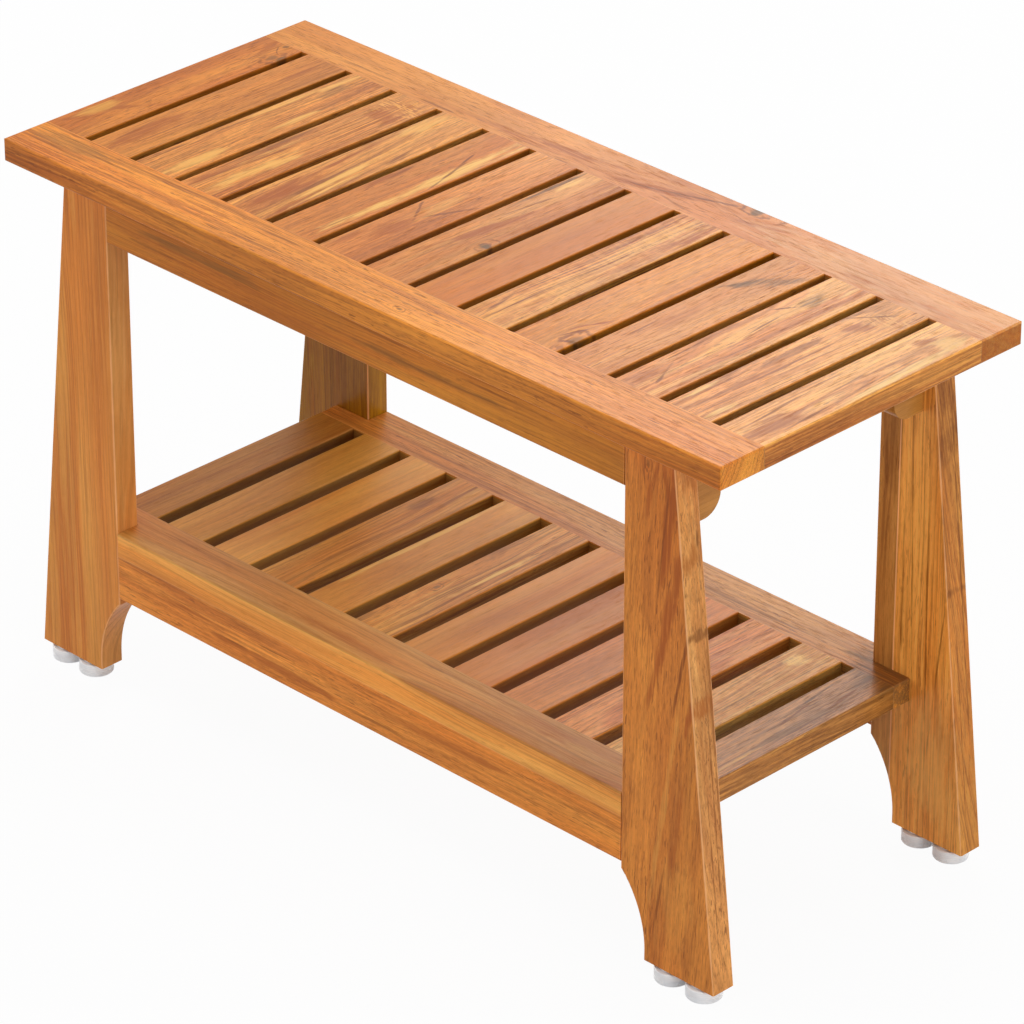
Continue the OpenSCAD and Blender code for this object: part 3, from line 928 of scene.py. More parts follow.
class Workshop:
    """Modelling moves that several pieces share, made with Blender's own tools."""

    @staticmethod
    def fresh() -> None:
        """Leaves edit mode and deselects everything."""
        if bpy.context.object and bpy.context.object.mode != "OBJECT":
            bpy.ops.object.mode_set(mode="OBJECT")
        bpy.ops.object.select_all(action="DESELECT")

    @staticmethod
    def alone(piece: bpy.types.Object) -> None:
        """Selects one piece and makes it active."""
        Workshop.fresh()
        piece.select_set(True)
        bpy.context.view_layer.objects.active = piece

    @staticmethod
    def turned(name: str, profile: Sequence[tuple[float, float]], sides: int = 64) -> bpy.types.Object:
        """Turns a piece about Z: a disc extruded and resized from ring to ring.

        Args:
            name: Name of the new object.
            profile: Radius and height of each ring, from the bottom up.
            sides: Number of sides of each ring.

        Returns:
            The closed solid, at the origin.
        """
        Workshop.fresh()
        radius, height = profile[0]
        bpy.ops.mesh.primitive_circle_add(
            vertices=sides, radius=radius, fill_type="NGON", location=(0, 0, height)
        )
        piece = bpy.context.object
        piece.name = piece.data.name = name
        bpy.ops.object.transform_apply(location=True, rotation=True, scale=True)
        bpy.ops.object.mode_set(mode="EDIT")
        bpy.ops.mesh.select_mode(type="FACE")
        bpy.ops.mesh.select_all(action="SELECT")
        for new_radius, new_height in profile[1:]:
            bpy.ops.mesh.extrude_region_move(
                TRANSFORM_OT_translate={"value": (0, 0, new_height - height)}
            )
            if abs(new_radius - radius) > 1e-9:
                share = new_radius / radius
                bpy.ops.transform.resize(value=(share, share, 1), center_override=(0, 0, new_height))
            radius, height = new_radius, new_height
        bpy.ops.mesh.select_all(action="SELECT")
        bpy.ops.mesh.normals_make_consistent(inside=False)
        bpy.ops.object.mode_set(mode="OBJECT")
        return piece

    @staticmethod
    def helix(
        name: str, root: float, crest: float, pitch: float, start: float, turns: float
    ) -> bpy.types.Object:
        """Cuts a thread's ridge: a small kite swept up a helix and closed at its ends.

        Args:
            name: Name of the new object.
            root: Radius at the thread's root.
            crest: Radius at its crest.
            pitch: Rise of one turn.
            start: Height of its lower end.
            turns: Number of turns.

        Returns:
            The ridge, about Z.
        """
        Workshop.fresh()
        depth = (crest - root) / 2
        bpy.ops.mesh.primitive_circle_add(vertices=4, radius=depth, fill_type="NOTHING", location=(0, 0, 0))
        piece = bpy.context.object
        piece.name = piece.data.name = name
        bpy.ops.object.mode_set(mode="EDIT")
        bpy.ops.mesh.select_all(action="SELECT")
        bpy.ops.transform.rotate(value=math.radians(90), orient_axis="X", center_override=(0, 0, 0))
        bpy.ops.transform.resize(value=(1, 1, 0.42 * pitch / depth), center_override=(0, 0, 0))
        bpy.ops.transform.translate(value=((root + crest) / 2, 0, start))
        bpy.ops.object.mode_set(mode="OBJECT")
        sweep = piece.modifiers.new("sweep", "SCREW")
        sweep.axis = "Z"
        sweep.angle = math.tau * turns
        sweep.screw_offset = pitch * turns
        sweep.steps = sweep.render_steps = int(24 * turns)
        sweep.use_merge_vertices = False
        bpy.ops.object.modifier_apply(modifier="sweep")
        bpy.ops.object.mode_set(mode="EDIT")
        bpy.ops.mesh.select_all(action="SELECT")
        bpy.ops.mesh.fill_holes(sides=0)
        bpy.ops.mesh.select_all(action="SELECT")
        bpy.ops.mesh.normals_make_consistent(inside=False)
        bpy.ops.object.mode_set(mode="OBJECT")
        return piece

    @staticmethod
    def cut(piece: bpy.types.Object, cutter: bpy.types.Object) -> None:
        """Cuts one piece with another, which is used up."""
        Workshop.alone(piece)
        tool = piece.modifiers.new("cut", "BOOLEAN")
        tool.operation = "DIFFERENCE"
        tool.solver = "EXACT"
        tool.object = cutter
        bpy.ops.object.modifier_apply(modifier="cut")
        bpy.data.objects.remove(cutter)

    @staticmethod
    def bar(name: str, size: Point, place: Point) -> bpy.types.Object:
        """A plain bar, used as a cutter."""
        Workshop.fresh()
        bpy.ops.mesh.primitive_cube_add(size=1.0, location=place, scale=size)
        piece = bpy.context.object
        piece.name = piece.data.name = name
        bpy.ops.object.transform_apply(location=True, rotation=True, scale=True)
        return piece

    @staticmethod
    def joined(name: str, pieces: Sequence[bpy.types.Object]) -> bpy.types.Object:
        """Joins pieces into the first one and names it."""
        Workshop.fresh()
        for piece in pieces:
            piece.select_set(True)
        bpy.context.view_layer.objects.active = pieces[0]
        if len(pieces) > 1:
            bpy.ops.object.join()
        whole = bpy.context.object
        whole.name = whole.data.name = name
        return whole

    @staticmethod
    def copy(pattern: bpy.types.Object, name: str, place: Point) -> bpy.types.Object:
        """Copies a pattern piece, with a mesh of its own, to a place."""
        piece = pattern.copy()
        piece.data = pattern.data.copy()
        piece.name = piece.data.name = name
        bpy.context.collection.objects.link(piece)
        piece.data.transform(Matrix.Translation(Vector(place)))
        return piece

    @staticmethod
    def smooth(piece: bpy.types.Object, angle: float = 32.0) -> None:
        """Shades a piece smooth, but for edges sharper than an angle."""
        Workshop.alone(piece)
        bpy.ops.object.shade_smooth_by_angle(angle=math.radians(angle))

    @staticmethod
    def dress(piece: bpy.types.Object, material: bpy.types.Material) -> None:
        """Gives a piece one material."""
        piece.data.materials.clear()
        piece.data.materials.append(material)


# ---------------------------------------------------------------- sub-assemblies


def box_depth(node: str) -> Depths:
    """How deep a point of a square board lies below its three pairs of faces.

    Args:
        node: The board's CAD node.

    Returns:
        A builder of the depth vector.
    """
    low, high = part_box(node)
    middle = (Vector(low) + Vector(high)) / 2
    half = (Vector(high) - Vector(low)) / 2

    def build(g: Graph, place: Any) -> Any:
        """Builds it in a material's graph."""
        off = g.vector("ABSOLUTE", g.vector("SUBTRACT", place, tuple(middle)))
        return g.vector("SUBTRACT", tuple(half), off)

    return build


@dataclass
class BoardSet:
    """Boards that are dressed in one teak finish."""

    effects: Effects
    finish: TeakFinish = field(default_factory=TeakFinish)

    def boards(self) -> Iterable[Board]:
        """The boards of this set."""
        return ()

    def depth(self, board: Board) -> Depths:
        """The builder of the depth below a board's faces."""
        return box_depth(board.node)

    def dress(self) -> int:
        """Dresses every board.

        Returns:
            The number of boards dressed.
        """
        number = 0
        for board in self.boards():
            material = self.finish.make(self.effects, board, self.depth(board))
            Workshop.dress(frame["nodes"][board.node], material)
            LOG.info("dressed %s in %s teak", board.node, board.tone.value)
            number += 1
        return number


def slat(name: str, number: int, tone: Tone, seed: float, **look: Any) -> Board:
    """A slat with its own place in the log and a drainage gap on both sides.

    Args:
        name: Start of its node's name.
        number: Its place from the left, from 1.
        tone: The tone of its timber.
        seed: Moves the figure.
        **look: Any other field of the board.

    Returns:
        The board.
    """
    heart = (0.02 * math.cos(2.1 * number), 0.04 * math.sin(2.4 * number), -0.035)
    # the sides inside the drainage gaps take painted shade
    gap = GAP_SHADE if name.startswith("seat") else SHELF_GAP_SHADE
    sides = ((Side.LEFT, gap), (Side.RIGHT, gap))
    return Board(f"{name}_{number:02d}", Grain.SLAT, tone, seed, heart, sides=sides, **look)


@dataclass
class SeatPanel(BoardSet):
    """The seat: two rails, two end boards and the slats."""

    def boards(self) -> Iterable[Board]:
        """Rails first, then the end boards and the slats from left to right."""
        yield Board(
            "seat_rail_front", Grain.RAIL_FLAT, Tone.AMBER, 1.3, (0.004, 0.10, -0.05), crisp=1.1, wander=0.012,
            contrast=0.25, streaks=0.5, straw=0.15, lines=0.42, pores=1.1, shade=1.1, tint=(1.12, 1.14, 0.80),
            sides=((Side.BACK, GAP_SHADE), (Side.FRONT, (0.71, 0.68, 0.72)), (Side.RIGHT, (0.95, 1.08, 1.50))),
            knots=(Knot(47, -10, 2, 4.0, 0.6),),
            marks=(
                slate(-335, 4, 45, 14, 0.45), rust(-165, 4, 50, 3, 0.6), dark(-150, -14, 12, 2.6, 0.8),
                dark(-100, 10, 30, 1.4, 0.6), dark(-345, -4, 30, 1.6, 0.6), dark(-290, 6, 40, 1.4, 0.5),
                dark(-225, 13, 22, 1.6, 0.6), dark(-200, -9, 50, 1.3, 0.5), dark(42, 17, 10, 1.2, 0.7),
                dark(62, 12, 8, 1, 0.6),
            ),
        )
        yield Board(
            "seat_rail_back", Grain.RAIL_FLAT, Tone.HONEY, 2.6, (-0.01, -0.02, -0.04), crisp=0.8, wander=0.05,
            ring=0.009, contrast=0.25, streaks=0.15, straw=0.2, lines=0.15, shade=0.97,
            sides=((Side.FRONT, GAP_SHADE), (Side.RIGHT, (0.60, 0.49, 0.18))),
            knots=(Knot(120.5, 20, 5, 4.5, 0.75),),
            marks=(
                rust(-55, -4, 60, 6, 0.75, 0.08), rust(-85, -14, 60, 3, 0.6), rust(45, -3, 55, 6, 0.8, 0.28),
                dark(40, -6, 45, 1.2, 0.7, 0.22), dark(62, 2, 40, 1.4, 0.8, 0.34),
                dark(86, 11, 20, 1.8, 0.8, 0.42), dark(62, -13, 30, 2, 0.55, -0.2),
                rust(145, 6, 30, 5, 0.6, 0.35), slate(121, 19.5, 5, 3.2, 0.9, 0.0, 9.5, 4),
                dark(118, 4, 16, 1.6, 0.7, -0.3), dark(-270, -10, 35, 1.4, 0.5), dark(-185, -18, 20, 1.6, 0.6),
                # a painted sheen toward the rail's right end
                painted_sheen(280, 4, 160, 40, 0.3),
            ),
        )
        yield Board(
            "seat_end_left", Grain.SLAT, Tone.AMBER, 3.9, (0.03, 0.06, -0.03), crisp=1.6, wander=0.06,
            contrast=0.2, streaks=0.1, straw=0.15, lines=0.1, shade=0.96, tint=(1.0, 0.99, 0.72),
            sides=((Side.RIGHT, GAP_SHADE),),
            knots=(Knot(90, -15, 4.5, 3.8, 0.6),),
            marks=(
                slate(94, -18, 6, 2.4, 0.9), slate(112, -8.5, 3, 3, 0.8), rust(98, 0, 20, 6, 0.6, 0.3),
                rust(-62, 3, 40, 4.5, 0.65, -0.65), rust(-98, 12, 20, 4, 0.6, -0.5), straw(-75, 12, 25, 7, 0.5),
                dark(78, -6, 14, 1.2, 0.7, -0.8), dark(100, -12, 10, 1.2, 0.7, 1.1),
            ),
        )
        yield Board(
            # its high shade and pale, blue tint are partly a painted sheen toward the seat's right end
            "seat_end_right", Grain.SLAT, Tone.HONEY, 5.2, (-0.02, 0.01, -0.04), contrast=0.45, streaks=0.45,
            straw=0.75, lines=0.5, crisp=2.1, shade=1.24, tint=(1.0, 1.16, 1.45),
            sides=((Side.LEFT, GAP_SHADE), (Side.RIGHT, (0.66, 0.56, 0.48))),
            marks=(
                straw(30, -16, 70, 4, 0.8, 0.03), dark(-15, 1, 60, 1.6, 0.7, 0.07), rust(-85, -4, 35, 10, 0.8),
                dark(20, -9, 50, 1.3, 0.7, 0.05), rust(85, 6, 14, 6, 0.7, -0.5),
                dark(-65, -14, 40, 1.4, 0.8, 0.05), dark(-70, 10, 40, 1.4, 0.7, 0.08),
                straw(95, -10, 14, 10, 0.5, ripple=0.5),
            ),
        )
        yield slat(
            "seat_slat", 1, Tone.AMBER, 11.37, crisp=1.4, shade=0.95, tint=(1.0, 1.0, 0.88), contrast=0.15,
            streaks=0.25, straw=0.2, lines=0.3,
            marks=(rust(-75, 6, 50, 11, 0.75, 0.06), dark(-70, 13, 30, 1.5, 0.5, 0.1), rust(85, 0, 20, 5, 0.5)),
        )
        yield slat(
            "seat_slat", 2, Tone.HONEY, 12.74, crisp=3.1, streaks=0.35, straw=0.65, lines=0.4,
            marks=(
                straw(100, 13.7, 28, 4, 0.9), slate(82, 7, 20, 6, 0.45), straw(-78, -10, 40, 8, 0.8),
                straw(22, -11, 30, 3, 0.8), straw(30, 18, 60, 3, 0.7), dark(-85, 17, 30, 1.4, 0.7),
            ),
        )
        yield slat(
            "seat_slat", 3, Tone.HONEY, 14.11, crisp=2.5, streaks=0.25, straw=0.4, lines=0.5,
            marks=(
                rust(96, 0, 16, 26, 0.45, ripple=0.9), rust(76, -4, 12, 20, 0.75),
                straw(-62, -4, 55, 9, 0.9, -0.06), straw(-30, 12, 30, 2.5, 0.8), dark(-20, 18, 60, 1.6, 0.7),
                dark(-55, 9, 50, 1.4, 0.7, -0.05), rust(-100, 12, 20, 6, 0.6),
            ),
        )
        yield slat(
            "seat_slat", 4, Tone.HONEY, 15.48, crisp=2.2, streaks=0.35, straw=0.5, lines=0.45, lean=-4,
            marks=(
                straw(85, 8, 28, 12, 0.7), rust(-65, 10, 50, 9, 0.9), straw(-20, -6, 60, 3.5, 0.9),
                dark(-30, -1, 60, 2.4, 0.8), dark(30, -17, 20, 4.5, 0.75), rust(0, 13, 60, 3, 0.8),
                rust(-90, -12, 30, 5, 0.8), straw(-50, -13.5, 40, 2, 0.9),
            ),
        )
        yield slat(
            "seat_slat", 5, Tone.AMBER, 16.85, crisp=1.8, shade=1.0, tint=(1.0, 1.07, 1.1), contrast=0.15,
            streaks=0.1, straw=0.1, lines=0.2,
            marks=(
                straw(30, -13.5, 130, 6.5, 1.0), dark(36, -12.5, 26, 1.4, 1.0, 0.26),
                dark(66, -3, 16, 1.2, 0.9, 0.3), rust(0, 18, 35, 5, 0.9), dark(12, 16.5, 20, 1.6, 0.8, 0.1),
                dark(-75, -12, 30, 1.2, 0.6),
            ),
        )
        yield slat(
            "seat_slat", 6, Tone.HONEY, 18.22, crisp=1.9, shade=0.98, ring=0.01, contrast=0.3, streaks=0.1,
            straw=0.15, lines=0.15,
            marks=(
                dark(-22, 11, 14, 2, 0.85, 0.63), dark(-8, -9, 26, 1.7, 0.8, -0.47), rust(-60, 4, 26, 11, 0.75),
                straw(-4, 3, 30, 7, 0.35), rust(-90, 14, 26, 5, 0.6),
            ),
        )
        yield slat(
            "seat_slat", 7, Tone.HONEY, 19.59, crisp=1.3, shade=0.88, ring=0.008, contrast=0.35, streaks=0.3,
            straw=0.4, lines=0.2,
            marks=(
                slate(75, 18, 50, 2.2, 0.9), straw(95, 13, 20, 4, 0.8), rust(-10, 3, 60, 7, 0.8, -0.15),
                slate(-30, -17.5, 4, 3, 0.9), dark(30, 10, 35, 1.8, 0.7, -0.12),
            ),
            knots=(Knot(-32, -17.5, 2.8, 5.0, 0.6),),
        )
        yield slat(
            "seat_slat", 8, Tone.AMBER, 20.96, crisp=1.0, shade=0.96, tint=(1.0, 0.99, 0.62), contrast=0.12,
            streaks=0.08, straw=0.05, lines=0.1, pores=0.3,
        )
        yield slat(
            "seat_slat", 9, Tone.HONEY, 22.33, crisp=1.9, shade=0.95, tint=(1.0, 0.98, 0.80), streaks=0.3,
            straw=0.7, lines=0.8, curl=0.2,
            marks=(
                dark(-85, 12, 22, 2, 0.8, 0.2), dark(-80, 2, 40, 1.3, 0.7), rust(85, -14, 30, 5, 0.8),
                straw(60, 4, 50, 10, 0.3, ripple=0.6), dark(-20, -10, 60, 1.2, 0.6),
            ),
        )
        yield slat(
            "seat_slat", 10, Tone.HONEY, 23.70, crisp=2.2, shade=0.96, tint=(1.0, 0.92, 0.30), pores=0.6,
            contrast=0.15, streaks=0.08, straw=0.15, lines=0.12,
            knots=(Knot(-92, -19.5, 6, 3.8, 0.65),),
            marks=(
                dark(-84, -13.5, 16, 1.4, 1.0, -0.3), dark(-96, -19.5, 10, 1.4, 1.0, -0.6),
                rust(-66, -12, 22, 2.2, 0.8, -0.35),
            ),
        )
        yield slat(
            "seat_slat", 11, Tone.HONEY, 25.07, crisp=1.3, shade=0.93, tint=(1.0, 0.99, 0.88), contrast=0.25,
            streaks=0.15, straw=0.2, lines=0.2,
            marks=(
                slate(68, 4, 24, 7, 0.75, -0.55), slate(52, 14, 16, 3, 0.75, -0.5),
                slate(85, -12, 16, 5, 0.6, -0.4), rust(-20, 4, 30, 10, 0.4), dark(-40, 12, 30, 1.4, 0.6, 0.05),
            ),
        )
        # its high shade and pale, blue tint are partly a painted sheen toward the seat's right end
        yield slat(
            "seat_slat", 12, Tone.HONEY, 26.44, crisp=2.2, shade=1.12, tint=(1.0, 1.08, 1.2), wander=0.05,
            contrast=0.35, streaks=0.25, straw=0.7, lines=0.35,
            marks=(
                slate(80, 5, 22, 8, 0.75, 0.15), straw(103, -6, 16, 3, 1.0), dark(52, 12, 12, 1.4, 0.9, -0.6),
                dark(-45, 16.5, 30, 1.3, 0.7, 0.05), dark(20, 3.5, 28, 1.3, 0.8, 0.1),
                dark(-85, 2, 18, 1.8, 0.8, 0.45), rust(-95, 10, 18, 6, 0.6),
            ),
        )
        # its high shade and pale, blue tint are partly a painted sheen toward the seat's right end
        yield slat(
            "seat_slat", 13, Tone.HONEY, 27.81, crisp=2.6, shade=1.12, tint=(1.0, 1.08, 1.2), contrast=0.3,
            streaks=0.35, straw=0.5, lines=0.6,
            marks=(
                rust(68, 2, 14, 10, 0.8, -0.5), rust(90, -6, 14, 20, 0.3, ripple=0.9),
                straw(-85, 18, 25, 2.5, 1.0), straw(-95, -14, 20, 3, 0.9), dark(-20, 0, 60, 1.5, 0.6),
                dark(85, 10, 20, 1.4, 0.7, -0.8), rust(-30, 4, 40, 8, 0.5),
            ),
        )


@dataclass
class ShelfPanel(BoardSet):
    """The shelf: two notched rails, two end boards and the slats."""

    def boards(self) -> Iterable[Board]:
        """Rails first, then the end boards and the slats from left to right."""
        yield Board(
            "shelf_rail_front", Grain.RAIL_FLAT, Tone.STRAW, 31.0, (0.005, 0.03, -0.05), crisp=0.7,
            contrast=0.35, streaks=0.25, straw=0.25, lines=0.3, pores=0.35, shade=0.81, tint=(0.99, 1.02, 1.09),
            sides=((Side.BACK, GAP_SHADE), (Side.FRONT, (1.42, 1.32, 1.15)), (Side.RIGHT, (1.17, 1.20, 0.88))),
            marks=(
                dark(-200, 8, 50, 1.6, 0.6), rust(-30, -6, 80, 6, 0.5), rust(170, 4, 60, 8, 0.6),
                dark(60, 10, 30, 1.4, 0.6),
            ),
        )
        yield Board(
            "shelf_rail_back", Grain.RAIL_FLAT, Tone.HONEY, 32.7, (-0.006, 0.09, -0.04), crisp=1.1, shade=0.87,
            tint=(0.98, 1.04, 1.08), sides=((Side.FRONT, GAP_SHADE),),
            # partly darker grain and partly a painted shadow in the back-right corner by the leg
            marks=(slate(300, 0, 45, 40, 0.75),),
        )
        yield Board(
            "shelf_end_left", Grain.SLAT, Tone.HONEY, 33.9, (0.01, 0.09, -0.05), shade=0.74,
            tint=(0.86, 0.94, 0.83), pores=0.4, contrast=0.2, streaks=0.15, straw=0.1, lines=0.2,
            sides=((Side.RIGHT, SHELF_GAP_SHADE),),
        )
        yield Board(
            "shelf_end_right", Grain.SLAT, Tone.SMOKE, 35.1, (0.02, 0.05, -0.03), crisp=2.4, streaks=0.5,
            lines=0.5, shade=1.27, tint=(1.0, 1.09, 1.08),
            sides=((Side.LEFT, GAP_SHADE), (Side.RIGHT, (0.82, 0.74, 0.66))),
            marks=(
                # the second mark here is partly darker grain and partly a painted shadow in the back-right
                # corner by the leg
                slate(20, -8, 60, 4, 0.5), slate(120, 0, 34, 40, 0.75), slate(55, 12, 30, 2.2, 0.8, 0.1),
                dark(75, -4, 30, 2, 0.8, 0.12), straw(-50, -10, 40, 2.2, 0.7, 0.05),
                dark(20, 4, 30, 1.6, 0.7, 0.16),
            ),
        )
        plain = {"contrast": 0.12, "streaks": 0.08, "straw": 0.1, "lines": 0.12, "pores": 0.25}
        yield slat("shelf_slat", 1, Tone.HONEY, 41.9, shade=0.92, tint=(0.97, 1.30, 1.45), **plain)
        yield slat("shelf_slat", 2, Tone.HONEY, 43.8, crisp=0.8, shade=1.0, tint=(1.04, 1.27, 1.35), **plain)
        yield slat(
            "shelf_slat", 3, Tone.HONEY, 45.7, crisp=1.1, shade=0.94, tint=(0.94, 1.06, 0.94), pores=0.5,
            streaks=0.3, lines=0.4,
            marks=(dark(58, 9, 18, 6, 0.6), dark(-30, -4, 50, 2, 0.4)),
        )
        yield slat(
            "shelf_slat", 4, Tone.HONEY, 47.6, shade=0.95, tint=(0.95, 1.05, 0.93), pores=0.4, streaks=0.1,
            lines=0.15,
            marks=(straw(0, 17, 90, 3, 0.7),),
        )
        yield slat(
            "shelf_slat", 5, Tone.HONEY, 49.6, crisp=1.0, tint=(1.04, 1.23, 1.22), straw=0.6, lines=0.6,
            knots=(Knot(-29, 11, 2.5, 4.0, 0.6),),
            marks=(straw(20, -8, 70, 3, 0.7), dark(10, 2, 80, 1.6, 0.6)),
        )
        yield slat("shelf_slat", 6, Tone.HONEY, 51.5, crisp=0.6, shade=0.97, tint=(1.02, 1.13, 1.06), **plain)
        yield slat("shelf_slat", 7, Tone.HONEY, 53.4, crisp=0.6, shade=0.86, **plain)
        yield slat("shelf_slat", 8, Tone.AMBER, 55.3, crisp=1.8, shade=0.96, tint=(1.0, 1.0, 0.9), **plain)
        yield slat(
            "shelf_slat", 9, Tone.HONEY, 57.2, crisp=1.9, shade=1.0, tint=(1.0, 0.95, 0.82), straw=0.5,
            contrast=0.2, streaks=0.2, lines=0.45,
        )
        yield slat(
            "shelf_slat", 10, Tone.HONEY, 59.1, crisp=1.8, shade=0.95, tint=(1.16, 1.55, 1.85), straw=0.5,
            lines=0.5, curl=0.12,
            marks=(straw(85, 6, 12, 12, 0.5, ripple=0.8), dark(-20, -6, 50, 1.6, 0.6)),
        )


@dataclass
class LegSet(BoardSet):
    """The four flared legs.

    Attributes:
        inner: Distance of the upright inner edge from the bench's middle.
        top_width: Width of a leg at its top.
        flare: How far the outer edge flares out down to the foot.
        top: Height of a leg's top.
        bottom: Height of its foot end.
        scoop_radius: Radius of the scooped cut.
        scoop_depth: Depth of the cut into the leg.
        scoop_lift: Height of the cut's lower end above the foot end.
    """

    inner: float = 0.277
    top_width: float = 0.048
    flare: float = 0.0475
    top: float = 0.440
    bottom: float = 0.012
    scoop_radius: float = 0.088
    scoop_depth: float = 0.0245
    scoop_lift: float = 0.008

    def boards(self) -> Iterable[Board]:
        """Left legs, then right ones."""
        yield Board(
            "leg_front_left", Grain.LEG, Tone.HONEY, 61.0, (0.0, 0.09, -0.05), crisp=0.6, contrast=0.15,
            streaks=0.12, straw=0.45, lines=0.25, pores=0.2, shade=1.0, wander=0.012, lean=1,
            tint=(0.92, 0.90, 0.86), edges=(1.08, 1.57, 3.48), foot=(1.02, 1.13, 1.72),
        )
        yield Board(
            "leg_back_left", Grain.LEG, Tone.HONEY, 62.4, (0.01, 0.08, -0.03), lines=0.4, pores=0.4,
            contrast=0.15, tint=(0.98, 0.95, 0.85),
            # the front and inner faces are darkened by painted shade, while its other faces keep the plain tint
            sides=((Side.FRONT, (0.42, 0.44, 0.010)), (Side.RIGHT, (0.47, 0.53, 0.04))),
            # a paler band along the outer side of the broad face, lighter than its middle
            marks=(straw(0, -34, 300, 16, 0.35),),
        )
        yield Board(
            "leg_front_right", Grain.LEG, Tone.HONEY, 63.9, (0.02, 0.01, -0.045), ring=0.01, contrast=0.3,
            streaks=0.2, straw=0.15, lines=0.2, pores=1.2, crisp=1.6, lean=-3, shade=0.97,
            tint=(0.90, 0.79, 0.63), edges=(1.16, 1.72, 3.9), foot=(1.04, 1.26, 2.43),
            knots=(Knot(200, -35, 2.4, 4.5, 0.4),),
            marks=(
                rust(160, -12, 60, 6, 0.85, 0.05), rust(90, -6, 70, 5.5, 0.8, 0.16),
                dark(150, -16, 60, 1.2, 0.7, 0.06), dark(60, 10, 50, 1.6, 0.8, 0.14),
                rust(20, 22, 30, 4.5, 0.8, 0.3), rust(30, -18, 45, 4, 0.7, 0.22),
                # the first mark here is partly a painted shadow under the seat on the leg's outer narrow face
                # near its top, and partly a darker patch
                dark(197, 10, 13, 30, 0.4, 0.0, 2, 7), rust(-100, 12, 60, 5, 0.5, 0.1),
                dark(145, 9, 11, 20, 1.0, 0.0, 6, 1.8), straw(-60, 0, 100, 4, 0.4, 0.1),
                dark(-150, 0, 35, 1.4, 0.7, 0.12), dark(-60, 30, 120, 60, 0.7, 0.0, 4, 1),
                dark(-175, 34, 45, 9, 0.3, 0.1), straw(-150, 12, 50, 20, 0.18), rust(185, -30, 40, 4, 0.7, 0.2),
                rust(185, -14, 30, 4, 0.7, -0.35), dark(-20, 30, 140, 60, 0.6, 0.0, 8.5, 1.2),
                dark(-120, 30, 70, 60, 0.6, 0.0, -2, 0.9),
            ),
        )
        yield Board(
            "leg_back_right", Grain.LEG, Tone.HONEY, 65.3, (0.0, 0.07, -0.08), wander=0.008, contrast=0.15,
            streaks=0.15, straw=0.25, lines=0.45, pores=0.8, crisp=1.2,
            strip=Strip(-0.0278, (0.60, 0.59, 0.65)), sides=((Side.FRONT, (1.24, 1.44, 1.72)),),
            edges=(0.71, 0.69, 0.69), foot=(0.79, 0.80, 0.77),
            marks=(
                dark(0, 4, 200, 1.2, 0.8, -0.02), dark(30, -12, 160, 1, 0.7, -0.03),
                dark(-20, -20, 50, 1.4, 0.8, 0.0), rust(-110, 20, 60, 4, 0.6, -0.1),
                # the second mark here is a painted shadow high on the leg, by its inner edge
                dark(-50, 18, 80, 1, 0.7, 0.1), dark(120, -34, 60, 10, 0.5, 0.0), straw(-145, 12, 60, 30, 0.28),
                dark(150, 12, 75, 6.5, 0.7, -0.11), dark(20, 30, 160, 60, 0.7, 0.0, 5.5, 1),
                dark(-100, 30, 100, 60, 0.6, 0.0, -3, 0.8),
            ),
        )

    def depth(self, board: Board) -> Depths:
        """Depth below a leg's upright, flared, scooped and broad faces."""
        low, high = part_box(board.node)
        middle_y = (low[1] + high[1]) / 2
        half_y = (high[1] - low[1]) / 2
        tall = self.top - self.bottom
        slant = math.hypot(1.0, self.flare / tall)
        centre_x = self.inner + self.scoop_depth - self.scoop_radius
        centre_z = self.bottom + self.scoop_lift

        def build(g: Graph, place: Any) -> Any:
            """Builds it in a material's graph."""
            x, y, z = g.split(place)
            out = g.math("ABSOLUTE", x)
            drop = g.math("SUBTRACT", self.top, z)
            edge = g.linear(drop, self.flare / tall, self.inner + self.top_width)
            flared = g.math("DIVIDE", g.math("SUBTRACT", edge, out), slant)
            upright = g.math("SUBTRACT", out, self.inner)
            centre = g.join(g.math("SUBTRACT", out, centre_x), 0.0, g.math("SUBTRACT", z, centre_z))
            scooped = g.math("SUBTRACT", g.length(centre), self.scoop_radius)
            side = g.math("MINIMUM", g.math("MINIMUM", flared, upright), scooped)
            broad = g.math("SUBTRACT", half_y, g.math("ABSOLUTE", g.math("SUBTRACT", y, middle_y)))
            return g.join(side, broad, 1.0)

        return build


